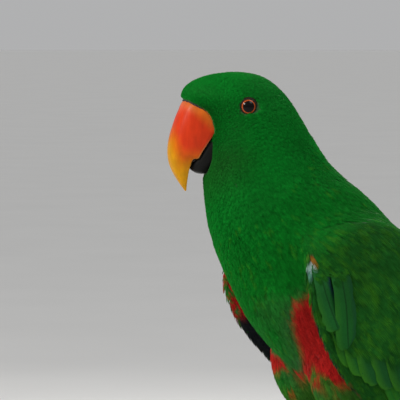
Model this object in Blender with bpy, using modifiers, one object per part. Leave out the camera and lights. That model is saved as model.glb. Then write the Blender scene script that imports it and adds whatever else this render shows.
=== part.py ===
# A male eclectus parrot, life size, standing on a cut length of branch over a plain display stand.
# The bird faces -Y, its left side is +X and +Z is up. Sizes are in millimetres and become metres
# where a mesh is made. The origin is the centre of the stand's underside.
import math

import bmesh
import bpy
import numpy as np
from mathutils import Vector

MM = 0.001
GAP = 0.35  # left between two pieces that meet

# Driving sizes of the bird, from its bill of 40 mm along the chord
TRUNK_PITCH = math.radians(51)  # slope of the trunk below the horizontal
SHOULDER = (-24.4, 212.6)  # (y, z) of the trunk's axis between the shoulders
NECK_Y = -32.6  # the upright axis that the head turns about
HEAD_TURN = math.radians(12)  # towards the bird's right
RING_POINTS = 32

# Stand and perch
PERCH_Z = 91.0
PERCH_RADIUS = 12.0
PERCH_HALF = 72.0
BASE_RADIUS = 74.0
BASE_HEIGHT = 10.0
ROD_RADIUS = 3.2
ROD_X = 52.0

# Feet
FOOT_X = 17.0
TOE_RADIUS = 2.9
SOLE_LIFT = 0.6  # of the shank's lower end over the toes' middle

GREEN, CORAL, BLACK = (0.02, 0.25, 0.05), (0.85, 0.22, 0.05), (0.02, 0.02, 0.02)
SKIN_GREY, STEEL = (0.12, 0.12, 0.13), (0.5, 0.5, 0.5)
WOOD, DARK_WOOD = (0.36, 0.28, 0.2), (0.2, 0.14, 0.1)


def through(knots, values, at):
    """Smooth curve through values at knots, by cubic Hermite pieces with central slopes."""
    knots = np.asarray(knots, float)
    values = np.asarray(values, float)
    slopes = np.gradient(values, knots, axis=0)
    at = np.clip(np.asarray(at, float), knots[0], knots[-1])
    left = np.clip(np.searchsorted(knots, at, side="right") - 1, 0, len(knots) - 2)
    span = knots[left + 1] - knots[left]
    t = (at - knots[left]) / span
    if values.ndim > 1:
        t, span = t[..., None], span[..., None]
    return (
        values[left] * (1 + 2 * t) * (1 - t) ** 2
        + slopes[left] * span * t * (1 - t) ** 2
        + values[left + 1] * t * t * (3 - 2 * t)
        + slopes[left + 1] * span * t * t * (t - 1)
    )


def ease(t):
    """0 to 1 with level ends."""
    t = np.clip(t, 0, 1)
    return t * t * (3 - 2 * t)


def trunk(along, dorsal):
    """(y, z) of a point by its distance along the trunk's axis and its height towards the back."""
    c, s = math.cos(TRUNK_PITCH), math.sin(TRUNK_PITCH)
    return SHOULDER[0] + c * along + s * dorsal, SHOULDER[1] - s * along + c * dorsal


def face(forward, z):
    """(y, z) of a point of the unturned head, forward of the neck's axis."""
    return NECK_Y - forward, z


def turned(points, share):
    """Points turned about the neck's axis by a share of the head's turn."""
    angle = HEAD_TURN * share
    x, y = points[..., 0], points[..., 1] - NECK_Y
    out = points.copy()
    out[..., 0] = x * np.cos(angle) + y * np.sin(angle)
    out[..., 1] = NECK_Y - x * np.sin(angle) + y * np.cos(angle)
    return out


def head_points(across, forward, z):
    """Points of the turned head: across to its left, forward and up."""
    across, forward, z = np.broadcast_arrays(*(np.asarray(v, float) for v in (across, forward, z)))
    return turned(np.stack([across, NECK_Y - forward, z], -1), 1.0)


# Sections of the body from the crown to the end of the tail coverts: front point, back point, half width
SECTIONS = (
    (face(18.5, 288.2), face(18.5, 288.2), 0.0),
    (face(28.8, 286.7), face(9.0, 286.3), 10.0),
    (face(36.7, 283.9), face(3.5, 283.4), 14.8),
    (face(41.9, 280.2), face(-1.0, 279.5), 18.0),
    (face(42.6, 275.7), face(-4.9, 275.0), 19.9),
    (face(36.2, 270.2), face(-8.6, 269.3), 21.0),
    (face(32.6, 264.0), face(-12.3, 263.0), 21.8),
    (face(31.6, 256.8), face(-17.0, 255.0), 22.4),
    (face(31.9, 248.5), face(-23.0, 246.4), 23.2),
    (face(34.6, 240.5), face(-30.5, 239.3), 24.8),
    (face(33.8, 230.0), trunk(5.4, 36.8), 27.4),
    (face(32.4, 219.5), trunk(18.0, 38.2), 30.0),
    ((-61.3, 208.0), trunk(32.0, 38.8), 32.2),
    ((-55.1, 194.1), trunk(45.0, 38.6), 33.4),
    ((-46.9, 178.5), trunk(58.0, 37.4), 33.8),
    ((-36.1, 165.0), trunk(72.0, 35.0), 33.0),
    ((-23.4, 153.6), trunk(86.0, 31.5), 31.2),
    (trunk(61.3, -31.9), trunk(99.0, 27.5), 28.6),
    (trunk(76.0, -26.0), trunk(112.0, 22.5), 25.0),
    (trunk(92.0, -19.5), trunk(124.0, 17.8), 21.2),
    (trunk(110.0, -13.0), trunk(136.0, 13.2), 18.0),
    (trunk(128.0, -9.0), trunk(149.0, 9.4), 16.6),
    (trunk(146.0, -6.3), trunk(161.0, 6.6), 15.6),
    (trunk(163.0, -4.6), trunk(173.0, 4.4), 13.6),
)
FULLY_TURNED, UNTURNED = 9.0, 12.5  # sections between which the neck turns
RINGS_PER_SECTION = 2


def body_points(section, angle, out=0.0):
    """Points of the body's surface, by place along SECTIONS and angle from the front by the left side."""
    index = np.arange(len(SECTIONS))
    front = through(index, [s[0] for s in SECTIONS], section)
    back = through(index, [s[1] for s in SECTIONS], section)
    half = np.maximum(through(index, [s[2] for s in SECTIONS], section), 0.0)
    middle, reach = (front + back) / 2, (front - back) / 2
    length = np.linalg.norm(reach, axis=-1)
    reach = reach * ((length + out) / np.maximum(length, 1e-6))[..., None]
    yz = middle + reach * np.cos(angle)[..., None]
    points = np.stack([(half + out) * np.sin(angle), yz[..., 0], yz[..., 1]], -1)
    share = 1 - ease((section - FULLY_TURNED) / (UNTURNED - FULLY_TURNED))
    return turned(points, share)


# Mesh makers

def weld(mesh):
    """Joins doubled points and turns every face outwards."""
    shell = bmesh.new()
    shell.from_mesh(mesh)
    bmesh.ops.remove_doubles(shell, verts=shell.verts, dist=1e-6)
    bmesh.ops.recalc_face_normals(shell, faces=shell.faces)
    shell.to_mesh(mesh)
    shell.free()


def mesh_object(name, points, faces):
    """A closed mesh object from points in millimetres."""
    mesh = bpy.data.meshes.new(name)
    mesh.from_pydata((np.asarray(points, float) * MM).tolist(), [], faces)
    weld(mesh)
    mesh.shade_smooth()
    mesh.set_sharp_from_angle(angle=math.radians(40))
    return bpy.data.objects.new(name, mesh)


def material(name, colour, roughness, metallic=0.0):
    """A Principled material of one colour."""
    made = bpy.data.materials.new(name)
    made.use_nodes = True
    shader = made.node_tree.nodes["Principled BSDF"]
    shader.inputs["Base Color"].default_value = (*colour, 1.0)
    shader.inputs["Roughness"].default_value = roughness
    shader.inputs["Metallic"].default_value = metallic
    return made


def loft_faces(rings, around):
    """Quads between rings of equal count, with both ends capped."""
    faces = []
    for r in range(rings - 1):
        for k in range(around):
            n = (k + 1) % around
            faces.append((r * around + k, r * around + n, (r + 1) * around + n, (r + 1) * around + k))
    faces.append(tuple(range(around))[::-1])
    faces.append(tuple((rings - 1) * around + k for k in range(around)))
    return faces


def loft(name, rings):
    """A closed tube through rings, an array of (rings, points, 3)."""
    count, around = rings.shape[:2]
    return mesh_object(name, rings.reshape(-1, 3), loft_faces(count, around))


def tube(name, path, radii, roundness=3):
    """A round rod along a path with a radius at each point, from a curve with a bevel and filled caps."""
    curve = bpy.data.curves.new(name, "CURVE")
    curve.dimensions = "3D"
    curve.bevel_depth = MM
    curve.bevel_resolution = roundness
    curve.use_fill_caps = True
    spline = curve.splines.new("POLY")
    spline.points.add(len(path) - 1)
    for point, place, radius in zip(spline.points, path, radii):
        point.co = (*(float(v) * MM for v in place), 1.0)
        point.radius = float(radius)
    holder = bpy.data.objects.new(name, curve)
    bpy.context.scene.collection.objects.link(holder)
    bpy.context.view_layer.update()
    graph = bpy.context.evaluated_depsgraph_get()
    mesh = bpy.data.meshes.new_from_object(holder.evaluated_get(graph))
    bpy.data.objects.remove(holder)
    bpy.data.curves.remove(curve)
    weld(mesh)
    mesh.shade_smooth()
    mesh.set_sharp_from_angle(angle=math.radians(40))
    return bpy.data.objects.new(name, mesh)


def ball(name, centre, radii, segments=20, rings=12):
    """A sphere or ellipsoid at a place."""
    shell = bmesh.new()
    bmesh.ops.create_uvsphere(shell, u_segments=segments, v_segments=rings, radius=MM)
    bmesh.ops.scale(shell, vec=Vector(radii), verts=shell.verts)
    mesh = bpy.data.meshes.new(name)
    shell.to_mesh(mesh)
    shell.free()
    mesh.shade_smooth()
    obj = bpy.data.objects.new(name, mesh)
    obj.location = Vector(centre) * MM
    return obj


def plate(name, top, bottom):
    """A thin closed body between two grids of points, split into triangles alike on both faces."""
    rows, columns = top.shape[:2]
    count = rows * columns
    points = np.concatenate([top.reshape(-1, 3), bottom.reshape(-1, 3)])
    faces = []
    for r in range(rows - 1):
        for k in range(columns - 1):
            a, b = r * columns + k, r * columns + k + 1
            d, c = a + columns, b + columns
            for corners in ((a, b, c), (a, c, d)):
                faces.append(corners)
                faces.append(tuple(v + count for v in corners[::-1]))
    rim = list(range(columns))
    rim += [r * columns + columns - 1 for r in range(1, rows)]
    rim += [(rows - 1) * columns + k for k in range(columns - 2, -1, -1)]
    rim += [r * columns for r in range(rows - 2, 0, -1)]
    for a, b in zip(rim, rim[1:] + rim[:1]):
        faces.append((b, a, a + count))
        faces.append((b, a + count, b + count))
    return mesh_object(name, points, faces)


# Joining and cutting

def apply_modifiers(obj):
    """Leaves the evaluated mesh on the object, without its modifiers."""
    bpy.context.view_layer.update()
    graph = bpy.context.evaluated_depsgraph_get()
    mesh = bpy.data.meshes.new_from_object(obj.evaluated_get(graph))
    mesh.name = obj.name
    mesh.shade_smooth()
    mesh.set_sharp_from_angle(angle=math.radians(35))
    obj.modifiers.clear()
    old = obj.data
    obj.data = mesh
    bpy.data.meshes.remove(old)


def keep_largest(obj):
    """Removes every closed surface of the mesh but the largest."""
    shell = bmesh.new()
    shell.from_mesh(obj.data)
    left, islands = set(shell.verts), []
    while left:
        seed = [left.pop()]
        island = set(seed)
        while seed:
            for edge in seed.pop().link_edges:
                for vert in edge.verts:
                    if vert in left:
                        left.discard(vert)
                        island.add(vert)
                        seed.append(vert)
        islands.append(island)

    def size(island):
        corners = np.array([v.co for v in island])
        return float(np.prod(corners.max(0) - corners.min(0)))

    islands.sort(key=size, reverse=True)
    for island in islands[1:]:
        bmesh.ops.delete(shell, geom=list(island), context="VERTS")
    shell.to_mesh(obj.data)
    shell.free()


def boolean(obj, others, operation, solver="EXACT"):
    """Joins others to the object, or cuts them from it, and removes them."""
    tools = bpy.data.collections.new(obj.name + "_tools")
    bpy.context.scene.collection.children.link(tools)
    bench = None
    if not obj.users_collection:
        bench = bpy.context.scene.collection
        bench.objects.link(obj)
    for other in others:
        for home in list(other.users_collection):
            home.objects.unlink(other)
        tools.objects.link(other)
    step = obj.modifiers.new(operation.lower(), "BOOLEAN")
    step.operation = operation
    step.solver = solver
    step.operand_type = "COLLECTION"
    step.collection = tools
    apply_modifiers(obj)
    for other in list(tools.objects):
        bpy.data.objects.remove(other)
    bpy.data.collections.remove(tools)
    if bench:
        bench.objects.unlink(obj)
    keep_largest(obj)


def cut_flat(obj, point, normal):
    """Keeps what lies on the normal's side of a plane, and closes the cut."""
    shell = bmesh.new()
    shell.from_mesh(obj.data)
    bmesh.ops.bisect_plane(
        shell,
        geom=shell.verts[:] + shell.edges[:] + shell.faces[:],
        dist=1e-7,
        plane_co=Vector(point) * MM,
        plane_no=Vector(normal),
        clear_inner=True,
    )
    bmesh.ops.holes_fill(shell, edges=[e for e in shell.edges if e.is_boundary])
    bmesh.ops.triangulate(shell, faces=[f for f in shell.faces if len(f.verts) > 4])
    bmesh.ops.recalc_face_normals(shell, faces=shell.faces)
    shell.to_mesh(obj.data)
    shell.free()


def seam(front, back):
    """(point, normal) of a cut across the body through two (y, z) points, the normal towards the head."""
    front, back = np.asarray(front, float), np.asarray(back, float)
    run = front - back
    normal = np.array([0.0, -run[1], run[0]])
    if normal[2] < 0:
        normal = -normal
    return np.array([0.0, *((front + back) / 2)]), normal / np.linalg.norm(normal)


# The body, parted by thin cuts

HEAD_SEAM = seam(face(34.5, 236.0), face(-13.0, 261.5))
NECK_SEAM = seam(face(36.0, 217.0), trunk(-2.0, 38.0))
TAIL_SEAM = seam(trunk(118.0, -14.0), trunk(118.0, 22.0))


def body_shell(name, out=0.0, start=0, stop=None):
    """The whole body as one closed loft from the crown to the end of the tail coverts."""
    stop = len(SECTIONS) - 1 if stop is None else stop
    section = np.linspace(start, stop, (stop - start) * RINGS_PER_SECTION + 1)
    if start == 0:
        section = np.concatenate([[0.06, 0.28], section[1:]])
    angle = np.arange(RING_POINTS) * 2 * math.pi / RING_POINTS
    grid, turn = np.meshgrid(section, angle, indexing="ij")
    return loft(name, body_points(grid, turn, out))


def body_piece(name, above=None, below=None):
    """A length of the body between two cuts, each GAP / 2 from its own plane."""
    obj = body_shell(name)
    if above is not None:
        cut_flat(obj, above[0] - above[1] * GAP / 2, -above[1])
    if below is not None:
        cut_flat(obj, below[0] + below[1] * GAP / 2, below[1])
    return obj


# Eyes, lids and nostrils

EYE_RADIUS = 4.7
EYE_PLACE = (16.6, 15.4, 272.6)  # across, forward, z of the left eyeball's centre
LID_RADIUS, LID_THICKNESS = 3.95, 0.75
LID_OUT = 3.1  # from the eyeball's centre
NOSTRIL_PLACE = (8.2, 36.2, 273.0)
NOSTRIL_RADIUS = 1.3


def eye_centre(side):
    return head_points(side * EYE_PLACE[0], EYE_PLACE[1], EYE_PLACE[2])


def lid_ring(side):
    """A thin rounded ring of bare skin round the eye's opening."""
    around = np.linspace(0, 2 * math.pi, 17)[:-1]
    profile = np.linspace(0, 2 * math.pi, 7)[:-1]
    turn, roll = np.meshgrid(around, profile, indexing="ij")
    radius = LID_RADIUS + LID_THICKNESS * np.cos(roll)
    across = EYE_PLACE[0] + LID_OUT + LID_THICKNESS * np.sin(roll)
    points = head_points(
        side * across, EYE_PLACE[1] + radius * np.cos(turn), EYE_PLACE[2] + radius * np.sin(turn)
    )
    rows, columns = turn.shape
    faces = []
    for r in range(rows):
        for k in range(columns):
            a, b = r * columns + k, r * columns + (k + 1) % columns
            n = (r + 1) % rows * columns
            faces.append((a, b, n + (k + 1) % columns, n + k))
    return mesh_object("lid", points.reshape(-1, 3), faces)


# The bill, in sections from its root inside the head to its tip: culmen (forward, z), edge, half width

UPPER_BILL = (
    ((30.0, 281.0), (18.0, 268.0), 8.6),
    ((41.4, 276.2), (26.0, 260.6), 9.3),
    ((45.2, 270.2), (31.0, 255.4), 9.3),
    ((48.0, 262.5), (35.1, 250.8), 8.8),
    ((49.3, 257.5), (36.4, 248.5), 8.1),
    ((49.8, 252.5), (38.8, 248.0), 7.2),
    ((49.2, 247.5), (40.2, 244.4), 5.8),
    ((47.4, 243.0), (41.0, 241.0), 4.3),
    ((44.9, 238.9), (41.3, 237.8), 2.6),
    ((42.3, 235.2), (41.2, 235.0), 0.9),
)
LOWER_BILL = (
    ((20.0, 262.0), (22.0, 245.0), 7.0),
    ((27.4, 260.0), (28.6, 243.4), 7.6),
    ((32.6, 255.0), (33.0, 241.5), 7.3),
    ((35.8, 250.2), (36.2, 241.7), 6.5),
    ((38.2, 247.6), (38.5, 243.0), 5.2),
    ((39.9, 246.3), (40.1, 244.9), 3.4),
)
# Half outlines across the bill, (share of half width, height from -1 at the edge to 1 at the ridge)
UPPER_OUTLINE = (
    (0.0, 1.0), (0.40, 0.90), (0.72, 0.64), (0.92, 0.25), (1.0, -0.2), (0.98, -0.62), (0.88, -1.0),
    (0.62, -0.84), (0.0, -0.68),
)
LOWER_OUTLINE = (
    (0.0, 0.62), (0.55, 0.74), (0.86, 1.0), (0.98, 0.6), (1.0, 0.1), (0.9, -0.45), (0.62, -0.84),
    (0.0, -1.0),
)


def bill_rings(sections, outline, steps, out=0.0):
    """Rings of a bill: each an outline hung between its ridge and its edge."""
    index = np.arange(len(sections))
    at = np.linspace(0, len(sections) - 1, steps)
    ridge = through(index, [s[0] for s in sections], at)
    edge = through(index, [s[1] for s in sections], at)
    half = through(index, [s[2] for s in sections], at) + out
    outline = np.array(outline)
    mirror = outline[-2:0:-1] * (-1, 1)
    full = np.concatenate([outline, mirror])
    middle, reach = (ridge + edge) / 2, (ridge - edge) / 2
    length = np.linalg.norm(reach, axis=1)
    reach = reach * ((length + out) / length)[:, None]
    yz = middle[:, None] + reach[:, None] * full[None, :, 1:2]
    across = half[:, None] * full[None, :, 0]
    return head_points(across, yz[..., 0], yz[..., 1])


TONGUE_PLACE = (37.0, 248.6)
TONGUE_RADII = (4.0, 4.2, 2.4)


# The folded wing, laid on a smooth mould over the trunk's side

MOULD_ALONG = (-14, 0, 20, 40, 60, 80, 100, 120, 140, 160, 180, 200, 226)
MOULD_HALF_WIDTH = (30.5, 34.0, 36.6, 37.6, 37.0, 34.6, 30.6, 26.4, 23.4, 21.6, 20.2, 19.0, 17.6)
MOULD_TOP = (35.6, 38.2, 40.2, 40.6, 39.4, 36.2, 31.4, 25.4, 19.4, 14.4, 10.6, 7.6, 4.4)
MOULD_MIDDLE = (0.0, 0.0, 0.5, 1.0, 1.5, 1.8, 1.8, 1.6, 1.4, 1.0, 0.6, 0.3, 0.0)
# Upper edge of the wing by its distance from the back's middle line
UPPER_EDGE_ALONG = (-12, -5, 4, 16, 32, 60, 100, 150, 190, 226)
UPPER_EDGE = (58, 50, 38, 26, 16, 8, 4, 3, 2.4, 2.0)
# Lower edge of each wing by how far it hangs below the trunk's middle line; the right one is held looser
LOWER_EDGE_ALONG = (-12, -6, 3, 10, 25, 45, 70, 95, 120, 145, 162, 180, 205, 226)
LOWER_EDGE = {
    1: (0, 5, 13, 19, 27, 32.5, 31.0, 25, 17.5, 10.5, 5.0, -1.5, -8.0, -13.0),
    -1: (13, 21.5, 29, 32.5, 36.5, 37.0, 33.0, 25, 17.5, 10.5, 5.0, -1.5, -8.0, -13.0),
}
FLARE = {1: 0.05, -1: 0.62}  # how far the hanging part stands out from the trunk
WING_START = {1: -5.0, -1: -11.0}
CORE_END = 92.0
CORE_TOP = 5.1

VANE = 0.5  # thickness of a feather's vane
LAYER = 0.85  # from one vane to the next that lies over it
SINK = {"primary": 0.0, "secondary": 0.8, "covert": 2.4}  # how deep a vane's root goes into the wing

# Feathers of a tier from the lower edge up: how far back each tip lies, where it lies across the wing
# (1 is the lower edge), its drift across the wing for each mm along, and its length
PRIMARY_TIPS = (210, 221, 222, 212, 199, 184)
PRIMARY_ROOT = 66
TOPMOST_ALONG = (100, 184, 199, 212, 222)  # where each primary from the top down has ended
TOPMOST_PRIMARY = (5, 5, 4, 3, 1.7)
SECONDARY_TIPS = (97, 109, 120, 131, 140, 147)
SECONDARY_PLACES = (1.0, 0.97, 0.87, 0.74, 0.58, 0.39)
SECONDARY_DRIFT = (0.0040, 0.0040, 0.0030, 0.0022, 0.0015, 0.0010)
SECONDARY_LENGTHS = (46, 54, 62, 68, 74, 78)
COVERT_TIPS = (33, 45, 58, 70, 79, 86, 90)
COVERT_PLACES = (1.0, 1.0, 1.0, 0.97, 0.83, 0.65, 0.46)
COVERT_DRIFT = (0.0065, 0.0065, 0.0060, 0.0050, 0.0035, 0.0020, 0.0010)
COVERT_LENGTHS = (33, 38, 42, 44, 44, 42, 40)
PRIMARY_LIFT, SECONDARY_LIFT, COVERT_LIFT = 0.7, 3.2, 5.5
COVERED_WIDTH = 0.2  # of a secondary or covert, as a share of the wing's width
PRIMARY_WIDTH, PRIMARY_WIDENS = 0.26, 0.24


def quarter_round(along):
    """Distance round the mould from the back's middle line to the widest point."""
    half = through(MOULD_ALONG, MOULD_HALF_WIDTH, along)
    top = through(MOULD_ALONG, MOULD_TOP, along) - through(MOULD_ALONG, MOULD_MIDDLE, along)
    return math.pi / 2 * np.sqrt((half**2 + top**2) / 2)


def wing_point(side, along, share, lift):
    """A point of the wing by its distance along, share of the way to the lower edge, and lift."""
    along, share, lift = np.broadcast_arrays(*(np.asarray(v, float) for v in (along, share, lift)))
    half = through(MOULD_ALONG, MOULD_HALF_WIDTH, along)
    middle = through(MOULD_ALONG, MOULD_MIDDLE, along)
    top = through(MOULD_ALONG, MOULD_TOP, along) - middle
    quarter = quarter_round(along)
    high = through(UPPER_EDGE_ALONG, UPPER_EDGE, along)
    low = quarter + through(LOWER_EDGE_ALONG, LOWER_EDGE[side], along)
    across = high + (low - high) * share
    turn = np.clip(across / quarter, 0, 1) * math.pi / 2
    hang = np.maximum(across - quarter, 0)
    spread = FLARE[side] * ease((along + 14) / 22) * (1 - ease((along - 70) / 60))
    slope = spread * (hang * hang + 24 * hang) / (hang + 12) ** 2
    x = half * np.sin(turn) + spread * hang * hang / (hang + 12)
    b = middle + top * np.cos(turn) - hang
    nx, nb = top * np.sin(turn), half * np.cos(turn) + slope * top * (hang > 0)
    size = np.hypot(nx, nb)
    y, z = trunk(along, b + lift * nb / size)
    return np.stack([side * (x + lift * nx / size), y, z], -1)


def wing_core(side):
    """The wing's arm as one smooth form under its feathers."""
    start, end = WING_START[side], CORE_END
    rows = np.array([start, start + 4, start + 12, 22, 40, 58, 76, end])
    share = np.array([0.0, 0.05, 0.26, 0.5, 0.74, 0.94, 1.0])
    fade = np.minimum(ease((rows - start + 3) / 12), 1 - 0.9 * ease((rows - 76) / (end - 76)))
    dome = np.sin(np.pi * np.clip(share, 0.02, 0.98)) ** 0.25
    top = 0.9 + (CORE_TOP - 0.9) * fade[:, None] * dome[None, :]
    return plate(
        "wing_core", wing_point(side, rows[:, None], share, top), wing_point(side, rows[:, None], share, 0.5)
    )


def feather_rows(root, tip):
    """Places along a feather, closer together at its rounded tip, and its width there as a share."""
    t = np.array([0.0, 0.36, 0.72, 0.93, 1.0])
    return root + (tip - root) * t, np.array([0.7, 1.0, 1.0, 0.74, 0.24])


def wing_tier(side, tips, lengths, start_share, width_share, lift, sink):
    """One tier of vanes, each a layer over its lower neighbour, so that its upper edge is covered."""
    vanes = []
    for i, (tip, length) in enumerate(zip(tips, lengths)):
        rows, breadth = feather_rows(tip - length, tip)
        starts = np.array([start_share(j, rows) for j in range(len(tips))])
        across = np.linspace(0, 1, 3)
        near = np.clip(starts[i], 0.0, 0.93)
        far = np.clip(starts[i] + width_share(i, rows), near + 0.07, 1.0)
        share = ((near + far) / 2)[:, None] + (across - 0.5) * ((far - near) * breadth)[:, None]
        over = np.empty_like(share)
        for r in range(len(rows)):
            line, rank = starts[::-1, r], -np.arange(len(tips))[::-1] * LAYER
            ahead = np.interp(share[r], line, rank)
            steep = LAYER / max(line[-1] - line[-2], 1e-3)
            ahead += np.maximum(share[r] - line[-1], 0) * steep
            ahead -= np.maximum(line[0] - share[r], 0) * LAYER / max(line[1] - line[0], 1e-3)
            over[r] = ahead + i * LAYER
        height = lift + over - sink * (1 - ease((rows - rows[0]) / (0.3 * length)))[:, None]
        top = wing_point(side, rows[:, None], share, height + VANE)
        bottom = wing_point(side, rows[:, None], share, height)
        vanes.append(plate("vane", top, bottom))
    return vanes


def drifting(tips, places, drift, width):
    """Start of each feather of a tier across the wing, by its tip's place and its drift."""
    return lambda i, along: places[i] - width - drift[i] * (tips[i] - along)


def wing_feathers(side):
    """Primaries, then secondaries over them, then greater coverts over those."""

    def primary_width(i, along):
        return PRIMARY_WIDTH + PRIMARY_WIDENS * ease((along - 90) / 130)

    def covered_width(i, along):
        return COVERED_WIDTH

    def primary_start(i, along):
        topmost = through(TOPMOST_ALONG, TOPMOST_PRIMARY, along)
        return (1.0 - primary_width(i, along)) * (1.0 - i / topmost)

    primary_lengths = [tip - PRIMARY_ROOT for tip in PRIMARY_TIPS]
    vanes = wing_tier(
        side, PRIMARY_TIPS, primary_lengths, primary_start, primary_width, PRIMARY_LIFT, SINK["primary"]
    )
    vanes += wing_tier(
        side, SECONDARY_TIPS, SECONDARY_LENGTHS,
        drifting(SECONDARY_TIPS, SECONDARY_PLACES, SECONDARY_DRIFT, COVERED_WIDTH),
        covered_width, SECONDARY_LIFT, SINK["secondary"],
    )
    vanes += wing_tier(
        side, COVERT_TIPS, COVERT_LENGTHS,
        drifting(COVERT_TIPS, COVERT_PLACES, COVERT_DRIFT, COVERED_WIDTH),
        covered_width, COVERT_LIFT, SINK["covert"],
    )
    return vanes


# The tail

TAIL_END = 246.0
TAIL_ROOT = 140.0
TAIL_PAIRS = 6
TAIL_WIDTH = 12.0  # of one feather
TAIL_INNER = 0.25  # from the middle line to the innermost feathers
TAIL_STEP = 2.75  # from one feather to the next across the fan
MIDDLE_REACH = 3.0  # of the topmost feather over the middle line


def tail_feathers():
    """Six pairs of square-ended feathers, the middle pair on top and each next one a layer lower."""
    vanes = []
    for side in (1, -1):
        for i in range(TAIL_PAIRS):
            tip = TAIL_END - 0.35 * i * i
            t = np.array([0.0, 0.45, 0.92, 0.98, 1.0])
            breadth = np.array([0.8, 1.0, 1.0, 0.78, 0.46])
            rows = TAIL_ROOT + (tip - TAIL_ROOT) * t
            fan = 0.55 + 0.45 * ease((rows - TAIL_ROOT) / (TAIL_END - TAIL_ROOT))
            inner = TAIL_INNER + TAIL_STEP * i * fan
            if side == 1 and i == 0:
                inner = inner - MIDDLE_REACH * fan
            wide = TAIL_WIDTH * fan * (1.25 if i == 0 and side == 1 else 1.0)
            across = np.linspace(0, 1, 3)
            x = (inner + wide / 2)[:, None] + (across - 0.5) * (wide * breadth)[:, None]
            rise = LAYER * (x / (TAIL_STEP * fan[:, None]) - i) + (LAYER if side == 1 and i == 0 else 0)
            dorsal = -3.6 - 0.012 * (rows[:, None] - 130) - 0.008 * x * x + rise
            faces = []
            for height in (dorsal + VANE, dorsal):
                y, z = trunk(rows[:, None] + 0 * x, height)
                faces.append(np.stack([side * x, y, z], -1))
            vanes.append(plate("rectrix", *faces))
    return vanes


# Legs, feet and claws

THIGH_TOP = {1: (15.0, -10.0, 166.0), -1: (16.0, -17.0, 167.0)}
ANKLE = {1: (17.0, 9.0, 125.0), -1: (17.0, 6.0, 125.5)}
THIGH_BOW = 5.0  # how far the thigh's middle bends forward
THIGH_RADII = (13.5, 14.6, 14.8, 13.4, 9.6, 4.6)
SHANK_RADII = (3.6, 3.4, 3.2, 3.2, 3.5, 3.6)


def thigh(side, out=0.0):
    """The feathered upper leg from inside the belly to the ankle."""
    t = np.linspace(0, 1, 10)
    start, end = np.array(THIGH_TOP[side]), np.array(ANKLE[side])
    path = start + (end - start) * t[:, None]
    path[:, 1] -= THIGH_BOW * np.sin(math.pi * t)
    path[:, 0] *= side
    radii = through(np.linspace(0, 1, len(THIGH_RADII)), THIGH_RADII, t) + out
    last = path[-1] - path[-2]
    path[-1] += last * out / np.linalg.norm(last)
    return tube("thigh", path, radii, 7)


# Each toe: name, degrees round the perch (front is positive), distance across at its root and at its tip
TOES = (
    ("second", 64.0, -2.8, -8.5),
    ("third", 94.0, 3.0, 8.0),
    ("first", -52.0, -3.0, -8.0),
    ("fourth", -90.0, 3.0, 9.0),
)
CLAW_TURN = 44.0  # degrees round the perch that a claw covers
CLAW_RADIUS, CLAW_TIP, CLAW_ARCH = 1.6, 0.25, 1.1
TOE_TAPER = 0.9
PAD_SWELL = 0.08
TOE_STEPS = 8


def round_perch(angle, across, lift):
    """Points by their angle round the perch from its top towards the front, and height over the bark."""
    radius = PERCH_RADIUS + lift
    return np.stack(
        [across + 0 * angle, -radius * np.sin(angle), PERCH_Z + radius * np.cos(angle)], -1
    )


def foot(side):
    """Shank and four toes, two forward and two back, closed round the perch."""
    ankle = np.array(ANKLE[side]) * (side, 1, 1)
    sole = np.array([side * FOOT_X, 0.5, PERCH_Z + PERCH_RADIUS + GAP + TOE_RADIUS + SOLE_LIFT])
    path = [ankle + (sole - ankle) * s for s in np.linspace(-0.1, 1, len(SHANK_RADII))]
    shank = tube("foot", path, SHANK_RADII, 4)
    toes = []
    for name, reach, root, tip in TOES:
        t = np.linspace(0, 1, TOE_STEPS)
        angle = np.radians(reach * t - math.copysign(5, reach) * (1 - t))
        across = side * (FOOT_X + root + (tip - root) * t**0.8)
        pads = 1 + PAD_SWELL * np.cos(t * 5 * math.pi)
        radii = (TOE_RADIUS - TOE_TAPER * t) * pads
        toes.append(tube(name, round_perch(angle, across, GAP + radii + 0.1), radii, 2))
    boolean(shank, toes, "UNION")
    boolean(shank, [thigh(side, GAP)], "DIFFERENCE")
    return shank


def claw(side, toe):
    """A curved, tapering claw past a toe's end."""
    _, reach, root, tip = toe
    t = np.linspace(0, 1, 7)
    way = math.copysign(1, reach)
    start = reach + way * math.degrees(1.9 * GAP / (PERCH_RADIUS + 2.5))
    angle = np.radians(start + way * CLAW_TURN * t)
    radii = CLAW_RADIUS * (1 - t) ** 0.8 + CLAW_TIP
    lift = GAP + radii + 0.15 + CLAW_ARCH * np.sin(math.pi * t)
    across = side * (FOOT_X + tip + (tip - root) * 0.12 * t)
    return tube("claw", round_perch(angle, across, lift), radii, 1)


# Stand and perch

def perch(out=0.0):
    """A cut length of branch, a little swollen and waisted clear of the feet."""
    x = np.linspace(-PERCH_HALF, PERCH_HALF, 10)
    away = ease((np.abs(x) - 34) / 30)
    radii = PERCH_RADIUS + away * (0.9 * np.sin(x * 0.09) - 0.4) + out
    return tube("perch", np.stack([x, 0 * x, PERCH_Z + 0 * x], -1), radii, 8)


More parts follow.
